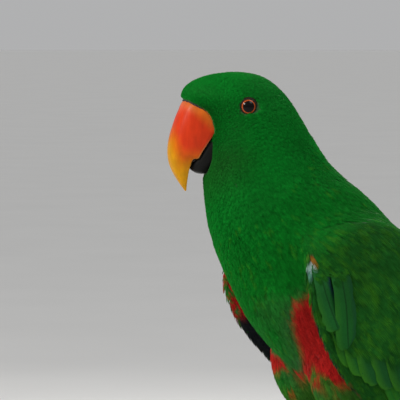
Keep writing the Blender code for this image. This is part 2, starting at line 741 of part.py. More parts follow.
def base_plate():
    """A flat turned disc with a rounded upper edge, by a Screw on its profile."""
    outline = [(0.0, BASE_HEIGHT), (BASE_RADIUS - 3.0, BASE_HEIGHT)]
    outline += [(BASE_RADIUS - 1.0, BASE_HEIGHT - 0.9), (BASE_RADIUS, BASE_HEIGHT - 3.0)]
    outline += [(BASE_RADIUS, 1.0), (BASE_RADIUS - 1.0, 0.0), (0.0, 0.0)]
    mesh = bpy.data.meshes.new("stand_base")
    points = [(r * MM, 0.0, h * MM) for r, h in outline]
    mesh.from_pydata(points, [(i, i + 1) for i in range(len(points) - 1)], [])
    obj = bpy.data.objects.new("stand_base", mesh)
    turn = obj.modifiers.new("turned", "SCREW")
    turn.steps = turn.render_steps = 36
    turn.use_merge_vertices = True
    turn.merge_threshold = 0.0001
    turn.use_smooth_shade = True
    return obj


def rod(side):
    """A steel rod from the base to the perch's underside, cut to its curve."""
    low, high = BASE_HEIGHT + GAP, PERCH_Z - 4
    shell = bmesh.new()
    bmesh.ops.create_cone(
        shell, cap_ends=True, segments=24, radius1=ROD_RADIUS * MM, radius2=ROD_RADIUS * MM,
        depth=(high - low) * MM,
    )
    mesh = bpy.data.meshes.new("rod")
    shell.to_mesh(mesh)
    shell.free()
    obj = bpy.data.objects.new("rod", mesh)
    obj.location = (side * ROD_X * MM, 0, (low + high) / 2 * MM)
    boolean(obj, [perch(GAP)], "DIFFERENCE")
    return obj


def main():
    for obj in list(bpy.data.objects):
        bpy.data.objects.remove(obj)
    parrot = bpy.data.collections.new("eclectus_parrot")
    bpy.context.scene.collection.children.link(parrot)
    origin = bpy.data.objects.new("parrot_origin", None)
    parrot.objects.link(origin)

    def place(obj, name, colour, roughness=0.6, metallic=0.0):
        obj.name = name
        obj.data.name = name
        obj.data.materials.clear()
        obj.data.materials.append(material(name, colour, roughness, metallic))
        obj.parent = origin
        parrot.objects.link(obj)
        return obj

    # Head with its lids, sockets and nostrils
    head = place(body_piece("head", below=HEAD_SEAM), "head", GREEN)
    boolean(head, [lid_ring(1), lid_ring(-1)], "UNION")
    hollows = []
    for side in (1, -1):
        hollows.append(ball("socket", eye_centre(side), [EYE_RADIUS + GAP] * 3, 16, 8))
        across, forward, z = NOSTRIL_PLACE
        hollows.append(ball("pit", head_points(side * across, forward, z), [NOSTRIL_RADIUS] * 3, 10, 6))
    boolean(head, hollows, "DIFFERENCE")
    for side, word in ((1, "left"), (-1, "right")):
        place(ball("eye", eye_centre(side), [EYE_RADIUS] * 3, 16, 10), f"eye_{word}", BLACK, 0.1)

    # Bill and tongue, each cut to what it meets
    upper = place(loft("upper", bill_rings(UPPER_BILL, UPPER_OUTLINE, 19)), "upper_bill", CORAL, 0.3)
    boolean(upper, [body_shell("head_room", GAP, 0, 12)], "DIFFERENCE")
    lower = place(loft("lower", bill_rings(LOWER_BILL, LOWER_OUTLINE, 11)), "lower_bill", BLACK, 0.3)
    boolean(lower, [body_shell("head_room", GAP, 0, 12)], "DIFFERENCE")
    boolean(lower, [loft("upper_room", bill_rings(UPPER_BILL, UPPER_OUTLINE, 19, GAP))], "DIFFERENCE")
    tongue = place(ball("tongue", head_points(0, *TONGUE_PLACE), TONGUE_RADII, 12, 8), "tongue", BLACK, 0.35)
    boolean(tongue, [loft("upper_room", bill_rings(UPPER_BILL, UPPER_OUTLINE, 19, GAP))], "DIFFERENCE")
    boolean(tongue, [loft("lower_room", bill_rings(LOWER_BILL, LOWER_OUTLINE, 11, GAP))], "DIFFERENCE")

    # Neck, trunk and tail
    place(body_piece("neck", above=HEAD_SEAM, below=NECK_SEAM), "neck", GREEN)
    place(body_piece("torso", above=NECK_SEAM, below=TAIL_SEAM), "torso", GREEN)
    tail = place(body_piece("tail", above=TAIL_SEAM), "tail", GREEN)
    boolean(tail, tail_feathers(), "UNION")

    for side, word in ((1, "left"), (-1, "right")):
        wing = place(wing_core(side), f"wing_{word}", GREEN)
        boolean(wing, wing_feathers(side), "UNION")
        boolean(wing, [body_shell("room", GAP, 8)], "DIFFERENCE")
        leg = place(thigh(side), f"thigh_{word}", GREEN)
        boolean(leg, [body_shell("room", GAP, 8)], "DIFFERENCE")
        place(foot(side), f"foot_{word}", SKIN_GREY)
        for toe in TOES:
            place(claw(side, toe), f"claw_{word}_{toe[0]}", BLACK, 0.3)

    place(perch(), "perch", WOOD, 0.8)
    place(base_plate(), "stand_base", DARK_WOOD, 0.5)
    for side, word in ((1, "left"), (-1, "right")):
        place(rod(side), f"stand_rod_{word}", STEEL, 0.35, 1.0)


main()
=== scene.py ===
import math

import bpy
import numpy as np
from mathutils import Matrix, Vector


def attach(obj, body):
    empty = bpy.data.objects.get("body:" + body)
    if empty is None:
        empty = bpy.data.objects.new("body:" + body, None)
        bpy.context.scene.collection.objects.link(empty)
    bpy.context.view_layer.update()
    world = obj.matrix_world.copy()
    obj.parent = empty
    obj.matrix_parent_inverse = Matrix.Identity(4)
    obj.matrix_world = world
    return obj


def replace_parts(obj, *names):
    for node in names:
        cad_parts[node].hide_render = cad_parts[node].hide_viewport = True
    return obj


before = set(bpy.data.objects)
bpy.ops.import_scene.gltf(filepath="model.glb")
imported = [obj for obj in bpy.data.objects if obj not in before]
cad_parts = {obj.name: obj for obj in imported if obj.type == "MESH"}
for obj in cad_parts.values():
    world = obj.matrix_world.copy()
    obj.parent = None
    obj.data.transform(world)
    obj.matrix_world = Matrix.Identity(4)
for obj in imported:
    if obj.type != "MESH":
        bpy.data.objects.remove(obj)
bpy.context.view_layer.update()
mm = 0.001  # every size below is in millimetres


# Small maths

# smooth curve through values at knots: cubic Hermite pieces, each slope the central difference
def through(knots, values, at):
    knots = np.asarray(knots, float)
    values = np.asarray(values, float)
    slopes = np.gradient(values, knots, axis=0)
    at = np.clip(np.asarray(at, float), knots[0], knots[-1])
    left = np.clip(np.searchsorted(knots, at, side="right") - 1, 0, len(knots) - 2)
    span = knots[left + 1] - knots[left]
    t = (at - knots[left]) / span
    if values.ndim > 1:
        t, span = t[..., None], span[..., None]
    start = values[left] * (1 + 2 * t) * (1 - t) ** 2 + slopes[left] * span * t * (1 - t) ** 2
    end = values[left + 1] * t * t * (3 - 2 * t) + slopes[left + 1] * span * t * t * (t - 1)
    return start + end


# 0 to 1 with level ends
def ease(t):
    t = np.clip(t, 0, 1)
    return t * t * (3 - 2 * t)


def blend(a, b, share):
    return a + (b - a) * share


def unit(vectors):
    return vectors / np.maximum(np.linalg.norm(vectors, axis=-1, keepdims=True), 1e-9)


# soft noise from -1 to 1: a sum of sine waves that run in random directions through space
def softNoise(points, size, seed, waves=9):
    rng = np.random.default_rng(seed)
    ways = unit(rng.normal(size=(waves, 3))) * rng.uniform(0.6, 1.7, (waves, 1)) * 2 * math.pi / size
    shift = rng.uniform(0, 2 * math.pi, waves)
    total = np.zeros(points.shape[:-1])
    for way, offset in zip(ways, shift):
        total += np.sin(points @ way + offset)
    return total / math.sqrt(waves * 2)


# screen colour, 0 to 255, as the linear value that a shader takes
def paint(red, green, blue):
    value = np.array([red, green, blue], float) / 255
    return np.where(value <= 0.04045, value / 12.92, ((value + 0.055) / 1.055) ** 2.4)


# The bird's own frame: it faces -Y, its left is +X

birdForm = {
    "pitch": math.radians(51),      # slope of the trunk below the horizontal
    "shoulder": (-24.4, 212.6),     # (y, z) of the trunk's axis
    "neckY": -32.6,                 # upright axis that the head turns about
    "headTurn": math.radians(12),
    "turned": 9.0,                  # sections between which the turn fades
    "straight": 12.5,
}


def trunkPoint(along, dorsal):
    c, s = math.cos(birdForm["pitch"]), math.sin(birdForm["pitch"])
    y, z = birdForm["shoulder"]
    return y + c * along + s * dorsal, z - s * along + c * dorsal


# the reverse: distance along the trunk's axis and height towards the back
def trunkPlace(points):
    c, s = math.cos(birdForm["pitch"]), math.sin(birdForm["pitch"])
    y, z = points[..., 1] - birdForm["shoulder"][0], points[..., 2] - birdForm["shoulder"][1]
    return c * y - s * z, s * y + c * z


def facePoint(forward, z):
    return birdForm["neckY"] - forward, z


def turnHead(points, share):
    angle = birdForm["headTurn"] * share
    x, y = points[..., 0], points[..., 1] - birdForm["neckY"]
    out = points.copy()
    out[..., 0] = x * np.cos(angle) + y * np.sin(angle)
    out[..., 1] = birdForm["neckY"] - x * np.sin(angle) + y * np.cos(angle)
    return out


def headPoint(across, forward, z):
    across, forward, z = np.broadcast_arrays(*(np.asarray(v, float) for v in (across, forward, z)))
    return turnHead(np.stack([across, birdForm["neckY"] - forward, z], -1), 1.0)


# Meshes

# quads of a grid of rows x columns, closed round the columns or the rows where asked
def gridQuads(rows, columns, roundColumns=False, roundRows=False):
    r = np.arange(rows if roundRows else rows - 1)
    c = np.arange(columns if roundColumns else columns - 1)
    r, c = (v.ravel() for v in np.meshgrid(r, c, indexing="ij"))
    nextR, nextC = (r + 1) % rows, (c + 1) % columns
    return np.stack([r * columns + c, r * columns + nextC, nextR * columns + nextC, nextR * columns + c], -1)


# mesh object from points in millimetres and arrays of triangles or quads; uvs and tint are one value a point.
# Faces look outward: they are turned round where the volume that they close comes out negative
def makePiece(name, points, faces, uvs=None, tint=None, sharp=None):
    mesh = bpy.data.meshes.new(name)
    points = np.asarray(points, float).reshape(-1, 3) * mm
    volume = 0.0
    for part in faces:
        corner = points[part]
        for a, b in ((1, 2),) if part.shape[1] == 3 else ((1, 2), (2, 3)):
            volume += (corner[:, 0] * np.cross(corner[:, a], corner[:, b])).sum()
    if volume < 0:
        faces = [part[:, ::-1] for part in faces]
    corners = np.concatenate([np.asarray(f).ravel() for f in faces]).astype(np.int32)
    sizes = np.concatenate([np.full(len(f), f.shape[1]) for f in faces])
    mesh.vertices.add(len(points))
    mesh.vertices.foreach_set("co", points.astype(np.float32).ravel())
    mesh.loops.add(len(corners))
    mesh.loops.foreach_set("vertex_index", corners)
    mesh.polygons.add(len(sizes))
    mesh.polygons.foreach_set("loop_start", (np.cumsum(sizes) - sizes).astype(np.int32))
    for uvName, uv in (uvs or {}).items():
        layer = mesh.uv_layers.new(name=uvName)
        layer.data.foreach_set("uv", np.asarray(uv, float).reshape(-1, 2)[corners].astype(np.float32).ravel())
    if tint is not None:
        rgba = np.concatenate([np.asarray(tint).reshape(-1, 3), np.ones((len(points), 1))], 1)
        layer = mesh.color_attributes.new(name="tint", type="FLOAT_COLOR", domain="POINT")
        layer.data.foreach_set("color", rgba.astype(np.float32).ravel())
    mesh.update(calc_edges=True)
    mesh.validate()
    mesh.shade_smooth()
    if sharp:
        mesh.set_sharp_from_angle(angle=math.radians(sharp))
    piece = bpy.data.objects.new(name, mesh)
    bpy.context.scene.collection.objects.link(piece)
    return piece


# closed tube surface through rings (rings, around, 3): quads between rings and a fan at each end
def ringFaces(rings, around):
    side = gridQuads(rings, around, roundColumns=True)
    k = np.arange(around)
    nextK = (k + 1) % around
    first, last = rings * around, rings * around + 1
    start = np.stack([nextK, k, np.full(around, first)], -1)
    finish = np.stack([k, nextK, np.full(around, last)], -1) + np.array([1, 1, 0]) * (rings - 1) * around
    return side, np.concatenate([start, finish])


def ringPoints(rings):
    ends = np.stack([rings[0].mean(0), rings[-1].mean(0)])
    return np.concatenate([rings.reshape(-1, 3), ends])


# a value for each ring point, with the two end points taking their ring's mean
def ringValues(values):
    flat = values.reshape(-1, values.shape[-1])
    return np.concatenate([flat, values[0].mean(0)[None], values[-1].mean(0)[None]])


def finishPiece(piece, material, slot, *nodes):
    piece.data.materials.append(material)
    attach(piece, "root")
    if nodes:
        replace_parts(piece, *nodes)
    return piece


# rings round a path: each ring lies across the path, its first point towards the guide direction
def sweep(path, radii, guide, around, relief=None):
    way = unit(np.gradient(path, axis=0))
    guide = np.broadcast_to(np.asarray(guide, float), path.shape)
    up = unit(guide - way * (guide * way).sum(-1, keepdims=True))
    left = np.cross(way, up)
    turn = np.arange(around) * 2 * math.pi / around
    radius = np.broadcast_to(np.asarray(radii, float)[:, None], (len(path), around)).copy()
    if relief is not None:
        radius += relief
    ring = up[:, None] * np.cos(turn)[None, :, None] + left[:, None] * np.sin(turn)[None, :, None]
    return path[:, None] + ring * radius[..., None]


# Materials

def newMaterial(name, roughness, **sockets):
    material = bpy.data.materials.new(name)
    material.use_nodes = True
    shader = material.node_tree.nodes["Principled BSDF"]
    shader.inputs["Roughness"].default_value = roughness
    for socket, value in sockets.items():
        shader.inputs[socket.replace("_", " ")].default_value = value
    return material, material.node_tree, shader


def addNode(tree, kind, **values):
    node = tree.nodes.new("ShaderNode" + kind)
    for key, value in values.items():
        setattr(node, key, value)
    return node


def setInput(node, **values):
    for key, value in values.items():
        node.inputs[key.replace("_", " ")].default_value = value
    return node


def multiply(tree, first, second, amount=1.0):
    mix = addNode(tree, "Mix", data_type="RGBA", blend_type="MULTIPLY")
    mix.inputs[0].default_value = amount
    tree.links.new(first, mix.inputs[6])
    tree.links.new(second, mix.inputs[7])
    return mix.outputs[2]


# grey steps by a number from 0 to 1, as (place, brightness) stops
def ramp(tree, source, *stops):
    node = addNode(tree, "ValToRGB")
    elements = node.color_ramp.elements
    while len(elements) < len(stops):
        elements.new(0.5)
    for element, (place, value) in zip(elements, stops):
        element.position = place
        element.color = (*value, 1) if hasattr(value, "__len__") else (value, value, value, 1)
    tree.links.new(source, node.inputs["Fac"])
    return node.outputs["Color"]


# noise in space, stretched by scale along each axis, in features per metre
def spaceNoise(tree, scale, detail=3.0, roughness=0.5, stretch=(1, 1, 1), turn=(0, 0, 0)):
    place = addNode(tree, "TexCoord")
    mapping = setInput(addNode(tree, "Mapping"), Scale=stretch, Rotation=turn)
    noise = setInput(addNode(tree, "TexNoise"), Scale=scale, Detail=detail, Roughness=roughness)
    tree.links.new(place.outputs["Object"], mapping.inputs["Vector"])
    tree.links.new(mapping.outputs["Vector"], noise.inputs["Vector"])
    return noise.outputs["Fac"]


def addBump(tree, shader, height, strength, distance, before=None):
    bump = setInput(addNode(tree, "Bump"), Strength=strength, Distance=distance)
    tree.links.new(height, bump.inputs["Height"])
    if before is not None:
        tree.links.new(before, bump.inputs["Normal"])
    tree.links.new(bump.outputs["Normal"], shader.inputs["Normal"])
    return bump.outputs["Normal"]


featherFinish = {
    "roughness": 0.6,
    "sheen": 0.02,
    "sheenTint": (0.4, 1.0, 0.4, 1),
    "specular": 0.05,
    "patchScale": 60.0,     # broad light and dark patches, per metre
    "fineScale": 1300.0,    # specks of single barbs
    "strands": 7.0,         # lines that run along a small feather, over its width
    "vaneBarbs": 80.0,      # barb lines along a flight feather
}


# fine lines over a feather, as a sine over a sum of shares: of its distance from the shaft and of its length
def vaneLines(tree, awayRate, alongRate):
    uv = addNode(tree, "UVMap", uv_map="vane")
    split = addNode(tree, "SeparateXYZ")
    tree.links.new(uv.outputs["UV"], split.inputs["Vector"])

    def sum(source, second, operation="MULTIPLY_ADD", third=None):
        node = addNode(tree, "Math", operation=operation)
        tree.links.new(source, node.inputs[0])
        if second is not None:
            node.inputs[1].default_value = second
        if third is not None and hasattr(third, "node"):
            tree.links.new(third, node.inputs[2])
        elif third is not None:
            node.inputs[2].default_value = third
        return node.outputs[0]

    away = sum(sum(split.outputs["X"], 0.5, "SUBTRACT"), None, "ABSOLUTE")
    run = sum(split.outputs["Y"], alongRate * 2 * math.pi, "MULTIPLY")
    wave = sum(sum(away, awayRate * 2 * math.pi, third=run), None, "SINE")
    return sum(wave, 0.5, third=0.5), away


def featherMaterial(name, awayRate, alongRate, shaft):
    material, tree, shader = newMaterial(
        name, featherFinish["roughness"], Sheen_Weight=featherFinish["sheen"],
        Sheen_Tint=featherFinish["sheenTint"], Specular_IOR_Level=featherFinish["specular"],
    )
    colour = addNode(tree, "Attribute", attribute_name="tint").outputs["Color"]
    patches = ramp(tree, spaceNoise(tree, featherFinish["patchScale"]), (0.3, 0.86), (0.7, 1.12))
    colour = multiply(tree, colour, patches)
    specks = ramp(tree, spaceNoise(tree, featherFinish["fineScale"], 2.0), (0.32, 0.9), (0.68, 1.08))
    colour = multiply(tree, colour, specks)
    lines, away = vaneLines(tree, awayRate, alongRate)
    colour = multiply(tree, colour, ramp(tree, lines, (0.0, 0.84), (1.0, 1.06)))
    if shaft:
        colour = multiply(tree, colour, ramp(tree, away, (0.0, 0.5), (0.02, 0.6), (0.045, 1.0)))
    tree.links.new(colour, shader.inputs["Base Color"])
    addBump(tree, shader, lines, 0.25, 0.00015)
    return material


# Body form

# sections of the body from the crown to the end of the tail coverts: front point, back point, half width
sections = (
    (facePoint(18.5, 288.2), facePoint(18.5, 288.2), 0.0),
    (facePoint(29.2, 287.1), facePoint(9.0, 286.5), 10.0),
    (facePoint(37.3, 284.4), facePoint(3.5, 283.5), 14.8),
    (facePoint(42.6, 280.7), facePoint(-1.0, 279.5), 18.0),
    (facePoint(43.9, 275.5), facePoint(-4.9, 275.0), 19.9),
    (facePoint(36.2, 270.2), facePoint(-8.6, 269.3), 21.0),
    (facePoint(32.6, 264.0), facePoint(-12.3, 263.0), 21.8),
    (facePoint(33.0, 256.8), facePoint(-17.0, 255.0), 22.4),
    (facePoint(33.4, 248.5), facePoint(-23.0, 246.4), 23.2),
    (facePoint(34.6, 240.5), facePoint(-30.5, 239.3), 24.8),
    (facePoint(33.8, 230.0), trunkPoint(5.4, 36.8), 27.4),
    (facePoint(32.4, 219.5), trunkPoint(18.0, 38.2), 30.0),
    ((-61.3, 208.0), trunkPoint(32.0, 38.8), 32.2),
    ((-55.1, 194.1), trunkPoint(45.0, 38.6), 33.4),
    ((-46.9, 178.5), trunkPoint(58.0, 37.4), 33.8),
    ((-36.1, 165.0), trunkPoint(72.0, 35.0), 33.0),
    ((-23.4, 153.6), trunkPoint(86.0, 31.5), 31.2),
    (trunkPoint(61.3, -31.9), trunkPoint(99.0, 27.5), 28.6),
    (trunkPoint(76.0, -26.0), trunkPoint(112.0, 22.5), 25.0),
    (trunkPoint(92.0, -19.5), trunkPoint(124.0, 17.8), 21.2),
    (trunkPoint(110.0, -13.0), trunkPoint(136.0, 13.2), 18.0),
    (trunkPoint(128.0, -9.0), trunkPoint(149.0, 9.4), 16.6),
    (trunkPoint(146.0, -6.3), trunkPoint(161.0, 6.6), 15.6),
    (trunkPoint(163.0, -4.6), trunkPoint(173.0, 4.4), 13.6),
)

coatForm = {
    "bodyDepth": 1.3,       # skin below the outline of the body
    "headDepth": 0.75,
    "thighDepth": 1.0,
    "voxel": 1.15,          # of the skin that joins body, wings and thighs
    "calm": 7,              # rounds of smoothing
    "fill": 70,             # rounds that fill its hollows
    "soften": 24,           # rounds for the copy that the feathers take their normals from
    "wingInset": {1: 0.015, -1: 0.035},   # share of a wing that the tufts of its free edge stand out by
    "billRoot": (0.0, 34.0, 262.0),   # feathers of the face lie away from here
}


# the body: an ellipse-like ring at each section, half width across and half the front-back reach along
def bodyPoint(section, angle, inset=0.0):
    index = np.arange(len(sections))
    front = through(index, [s[0] for s in sections], section)
    back = through(index, [s[1] for s in sections], section)
    half = np.maximum(through(index, [s[2] for s in sections], section) - inset, 0.0)
    middle, reach = (front + back) / 2, (front - back) / 2
    length = np.linalg.norm(reach, axis=-1)
    reach = reach * (np.maximum(length - inset, 0) / np.maximum(length, 1e-6))[..., None]
    yz = middle + reach * np.cos(angle)[..., None]
    drop = inset * (1 - ease(section / 3))
    points = np.stack([half * np.sin(angle), yz[..., 0], yz[..., 1] - drop], -1)
    share = 1 - ease((section - birdForm["turned"]) / (birdForm["straight"] - birdForm["turned"]))
    return turnHead(points, share)


# Wing form: a smooth mould over the trunk's side, on which wing and feathers are laid

mould = {
    "along": (-14, 0, 20, 40, 60, 80, 100, 120, 140, 160, 180, 200, 226),
    "half": (30.5, 34, 36.6, 37.6, 37, 34.6, 30.6, 26.4, 23.4, 21.6, 20.2, 19, 17.6),
    "top": (35.6, 38.2, 40.2, 40.6, 39.4, 36.2, 31.4, 25.4, 19.4, 14.4, 10.6, 7.6, 4.4),
    "middle": (0, 0, 0.5, 1, 1.5, 1.8, 1.8, 1.6, 1.4, 1, 0.6, 0.3, 0),
    "upperAlong": (-12, -5, 4, 16, 32, 60, 100, 150, 190, 226),
    "upper": (58, 50, 38, 26, 16, 8, 4, 3, 2.4, 2.0),
    "lowerAlong": (-12, -6, 3, 10, 25, 45, 70, 95, 120, 145, 162, 180, 205, 226),
    "lower": {
        1: (0, 5, 13, 19, 27, 32.5, 31, 25, 17.5, 10.5, 5, -1.5, -8, -13),
        -1: (13, 21.5, 29, 32.5, 36.5, 37, 33, 25, 17.5, 10.5, 5, -1.5, -8, -13),
    },
    "flare": {1: 0.05, -1: 0.62},     # how far the hanging part stands out from the trunk
    "start": {1: -5.0, -1: -11.0},
    "armEnd": 92.0,
    "armTop": 4.3,                    # flesh over the mould, under the coverts
}


# a point of the wing: share runs from its upper edge to its lower one, lift is height over the mould.
# Over the back the mould is a quarter ellipse, and below its widest point it hangs straight down and flares
def wingPoint(side, along, share, lift):
    along, share, lift = np.broadcast_arrays(*(np.asarray(v, float) for v in (along, share, lift)))
    half = through(mould["along"], mould["half"], along)
    middle = through(mould["along"], mould["middle"], along)
    top = through(mould["along"], mould["top"], along) - middle
    quarter = math.pi / 2 * np.sqrt((half**2 + top**2) / 2)
    high = through(mould["upperAlong"], mould["upper"], along)
    low = quarter + through(mould["lowerAlong"], mould["lower"][side], along)
    across = high + (low - high) * share
    turn = np.clip(across / quarter, 0, 1) * math.pi / 2
    hang = np.maximum(across - quarter, 0)
    spread = mould["flare"][side] * ease((along + 14) / 22) * (1 - ease((along - 70) / 60))
    slope = spread * (hang * hang + 24 * hang) / (hang + 12) ** 2
    x = half * np.sin(turn) + spread * hang * hang / (hang + 12)
    dorsal = middle + top * np.cos(turn) - hang
    nx, nb = top * np.sin(turn), half * np.cos(turn) + slope * top * (hang > 0)
    size = np.hypot(nx, nb)
    y, z = trunkPoint(along, dorsal + lift * nb / size)
    return np.stack([side * (x + lift * nx / size), y, z], -1)


# place on the wing, by undoing wingPoint: along, share across and height over the mould
def wingPlace(points):
    along, dorsal = trunkPlace(points)
    x = np.abs(points[..., 0])
    half = through(mould["along"], mould["half"], along)
    middle = through(mould["along"], mould["middle"], along)
    top = through(mould["along"], mould["top"], along) - middle
    quarter = math.pi / 2 * np.sqrt((half**2 + top**2) / 2)
    turn = np.arctan2(x / half, (dorsal - middle) / top)
    size = np.hypot(x / half, (dorsal - middle) / top)
    hang = np.maximum(middle - dorsal, 0)
    across = np.where(hang > 0, quarter + hang, quarter * turn * 2 / math.pi)
    high = through(mould["upperAlong"], mould["upper"], along)
    share, lift = np.empty_like(x), np.empty_like(x)
    for side in (1, -1):
        spread = mould["flare"][side] * ease((along + 14) / 22) * (1 - ease((along - 70) / 60))
        low = quarter + through(mould["lowerAlong"], mould["lower"][side], along)
        rise = np.where(hang > 0, x - half - spread * hang * hang / (hang + 12), (size - 1) * (half + top) / 2)
        here = (points[..., 0] >= 0) == (side == 1)
        share[here] = ((across - high) / (low - high))[here]
        lift[here] = rise[here]
    return along, share, lift


# 1 on the wing's arm, both faces of its free edge included, and 0 elsewhere
def onArm(points):
    along, share, lift = wingPlace(points)
    start = np.where(points[..., 0] > 0, mould["start"][1], mould["start"][-1])
    covers = (share > -0.03) & (share < 1.25) & (along > start - 3) & (along < mould["armEnd"] + 3)
    return np.where(covers & (lift > -0.6), 1.0, 0.0)


# the wing's arm as a closed pad: domed on top, and sunk into the trunk below except at its free edge
def wingArm(side):
    start, end = mould["start"][side], mould["armEnd"]
    rows = np.concatenate([np.linspace(start - 16, start + 8, 13), np.linspace(start + 12, end, 30)])[:, None]
    share = np.concatenate([[-0.16, -0.1, -0.05], np.linspace(0, 0.94, 26), [0.975, 1.0]])[None, :]
    share = share * (1 - coatForm["wingInset"][side])
    fade = np.minimum(ease((rows - start + 3) / 16), 1 - 0.85 * ease((rows - 76) / (end - 76)))
    dome = np.sin(np.pi * np.clip(share, 0.02, 0.98)) ** 0.25
    dive = 8 * np.clip((start + 5 - rows) / 21, 0, 1) ** 1.4 + 6 * np.clip((0.12 - share) / 0.28, 0, 1) ** 1.4
    top = 0.4 + (mould["armTop"] - 0.4) * fade * dome - dive
    free = ease((share - (0.78 if side == 1 else 0.5)) / 0.16) * ease((rows - start) / 5)
    bottom = blend(-6.0, 0.0, free) - dive
    return closedPlate(wingPoint(side, rows, share, top), wingPoint(side, rows, share, bottom))


# points and faces of a closed body between two grids of points
def closedPlate(top, bottom):
    rows, columns = top.shape[:2]
    count = rows * columns
    quads = gridQuads(rows, columns)
    rim = np.concatenate([
        np.arange(columns), np.arange(1, rows) * columns + columns - 1,
        (rows - 1) * columns + np.arange(columns - 2, -1, -1), np.arange(rows - 2, 0, -1) * columns,
    ])
    after = np.roll(rim, -1)
    edge = np.stack([after, rim, rim + count, after + count], -1)
    points = np.concatenate([top.reshape(-1, 3), bottom.reshape(-1, 3)])
    return points, np.concatenate([quads, quads[:, ::-1] + count, edge])


legForm = {
    "top": {1: (15.0, -10.0, 166.0), -1: (16.0, -17.0, 167.0)},
    "ankle": {1: (17.0, 9.0, 125.0), -1: (17.0, 6.0, 125.5)},
    "thigh": (13.5, 14.6, 14.8, 13.4, 9.6, 4.6),
    "bow": -5.0,
    "shank": (3.6, 3.4, 3.2, 3.2, 3.5, 3.6),
    "footX": 17.0,
    "toeRadius": 2.9,
    "clear": 0.35,                    # toes stay this far from the bark
}


def thighRings(side):
    t = np.linspace(0, 1, 26)
    start, end = np.array(legForm["top"][side]), np.array(legForm["ankle"][side])
    path = start + (end - start) * t[:, None]
    path[:, 1] += legForm["bow"] * np.sin(math.pi * t)
    path[:, 0] *= side
    radii = through(np.linspace(0, 1, 6), legForm["thigh"], t) - coatForm["thighDepth"]
    return sweep(path, radii, (0, -1, 0), 40)


# each point moves half way to the mean of its neighbours, as often as asked
def smoothed(points, edges, rounds):
    here, there = np.concatenate([edges, edges[:, ::-1]]).T
    count = np.bincount(here, minlength=len(points))[:, None]
    for _ in range(rounds):
        total = np.stack([np.bincount(here, points[there, k], len(points)) for k in range(3)], -1)
        points = blend(points, total / count, 0.5)
    return points


# body, arms and thighs joined into one closed skin by voxels. A strongly smoothed copy lies over its hollows,
# and the skin is raised to it there, so that the forms run into each other
def buildSkin():
    section = np.concatenate([[0.03, 0.12, 0.3, 0.6], np.linspace(1, len(sections) - 1, 100)])
    grid, turn = np.meshgrid(section, np.arange(80) * 2 * math.pi / 80, indexing="ij")
    inset = blend(coatForm["headDepth"], coatForm["bodyDepth"], ease((grid - 6) / 4))
    rings = [bodyPoint(grid, turn, inset), thighRings(1), thighRings(-1)]
    points, faces, count = [], [], 0
    for ring in rings:
        quads, fans = ringFaces(*ring.shape[:2])
        points.append(ringPoints(ring))
        faces += [quads + count, fans + count]
        count += len(points[-1])
    for side in (1, -1):
        armPoints, quads = wingArm(side)
        points.append(armPoints)
        faces.append(quads + count)
        count += len(armPoints)
    piece = makePiece("skin", np.concatenate(points), faces)
    grow = piece.modifiers.new("joined", "REMESH")
    grow.mode = "VOXEL"
    grow.voxel_size = coatForm["voxel"] * mm
    bpy.context.view_layer.update()
    graph = bpy.context.evaluated_depsgraph_get()
    mesh = bpy.data.meshes.new_from_object(piece.evaluated_get(graph))
    rough = piece.data
    piece.modifiers.clear()
    piece.data = mesh
    bpy.data.meshes.remove(rough)
    mesh.name = "skin"
    place = np.empty(len(mesh.vertices) * 3, np.float32)
    mesh.vertices.foreach_get("co", place)
    edges = np.empty(len(mesh.edges) * 2, np.int32)
    mesh.edges.foreach_get("vertices", edges)
    edges = edges.reshape(-1, 2)
    place = smoothed(place.reshape(-1, 3).astype(float), edges, coatForm["calm"])
    mesh.vertices.foreach_set("co", place.astype(np.float32).ravel())
    mesh.update()
    normal = np.empty(len(mesh.vertices) * 3, np.float32)
    mesh.vertices.foreach_get("normal", normal)
    normal = normal.reshape(-1, 3)
    rise = ((smoothed(place, edges, coatForm["fill"]) - place) * normal).sum(-1, keepdims=True)
    place = smoothed(place + normal * np.maximum(rise, 0) * 1.5, edges, 3)
    mesh.vertices.foreach_set("co", place.astype(np.float32).ravel())
    mesh.update()
    mesh.shade_smooth()
    soft = bpy.data.objects.new("softSkin", mesh.copy())
    place = smoothed(place, edges, coatForm["soften"])
    soft.data.vertices.foreach_set("co", place.astype(np.float32).ravel())
    soft.data.update()
    bpy.context.scene.collection.objects.link(soft)
    return piece, soft


# Markings, by place on the bird, for skin and coat alike

palette = {
    "head": paint(0, 104, 26),
    "body": paint(2, 100, 22),
    "mantle": paint(8, 92, 18),
    "belly": paint(8, 106, 26),
    "throat": paint(16, 82, 20),
    "thigh": paint(48, 98, 30),
    "red": paint(158, 24, 22),
    "ember": paint(176, 66, 24),
    "smoke": paint(46, 88, 44),
    "navy": paint(8, 20, 44),
    "black": paint(20, 22, 28),
    "blue": paint(22, 62, 120),
    "turquoise": paint(120, 176, 170),
    "covert": paint(20, 80, 22),
    "longCovert": paint(18, 68, 30),
    "leaf": paint(52, 112, 14),
    "tailTip": paint(150, 150, 60),
    "tailUnder": paint(34, 34, 32),
}

flank = {
    "along": (0, 10, 16, 22, 28, 35, 43, 50, 62),
    "bound": (-16, -22.5, -27.5, -31, -33, -34.5, -36.2, -38.5, -39),   # dorsal place where its red begins
    "gapAlong": (38, 44, 50, 56, 62),
    "gap": (-30, -32.4, -34, -35, -35.5),          # middle of the green wedge in the red
}


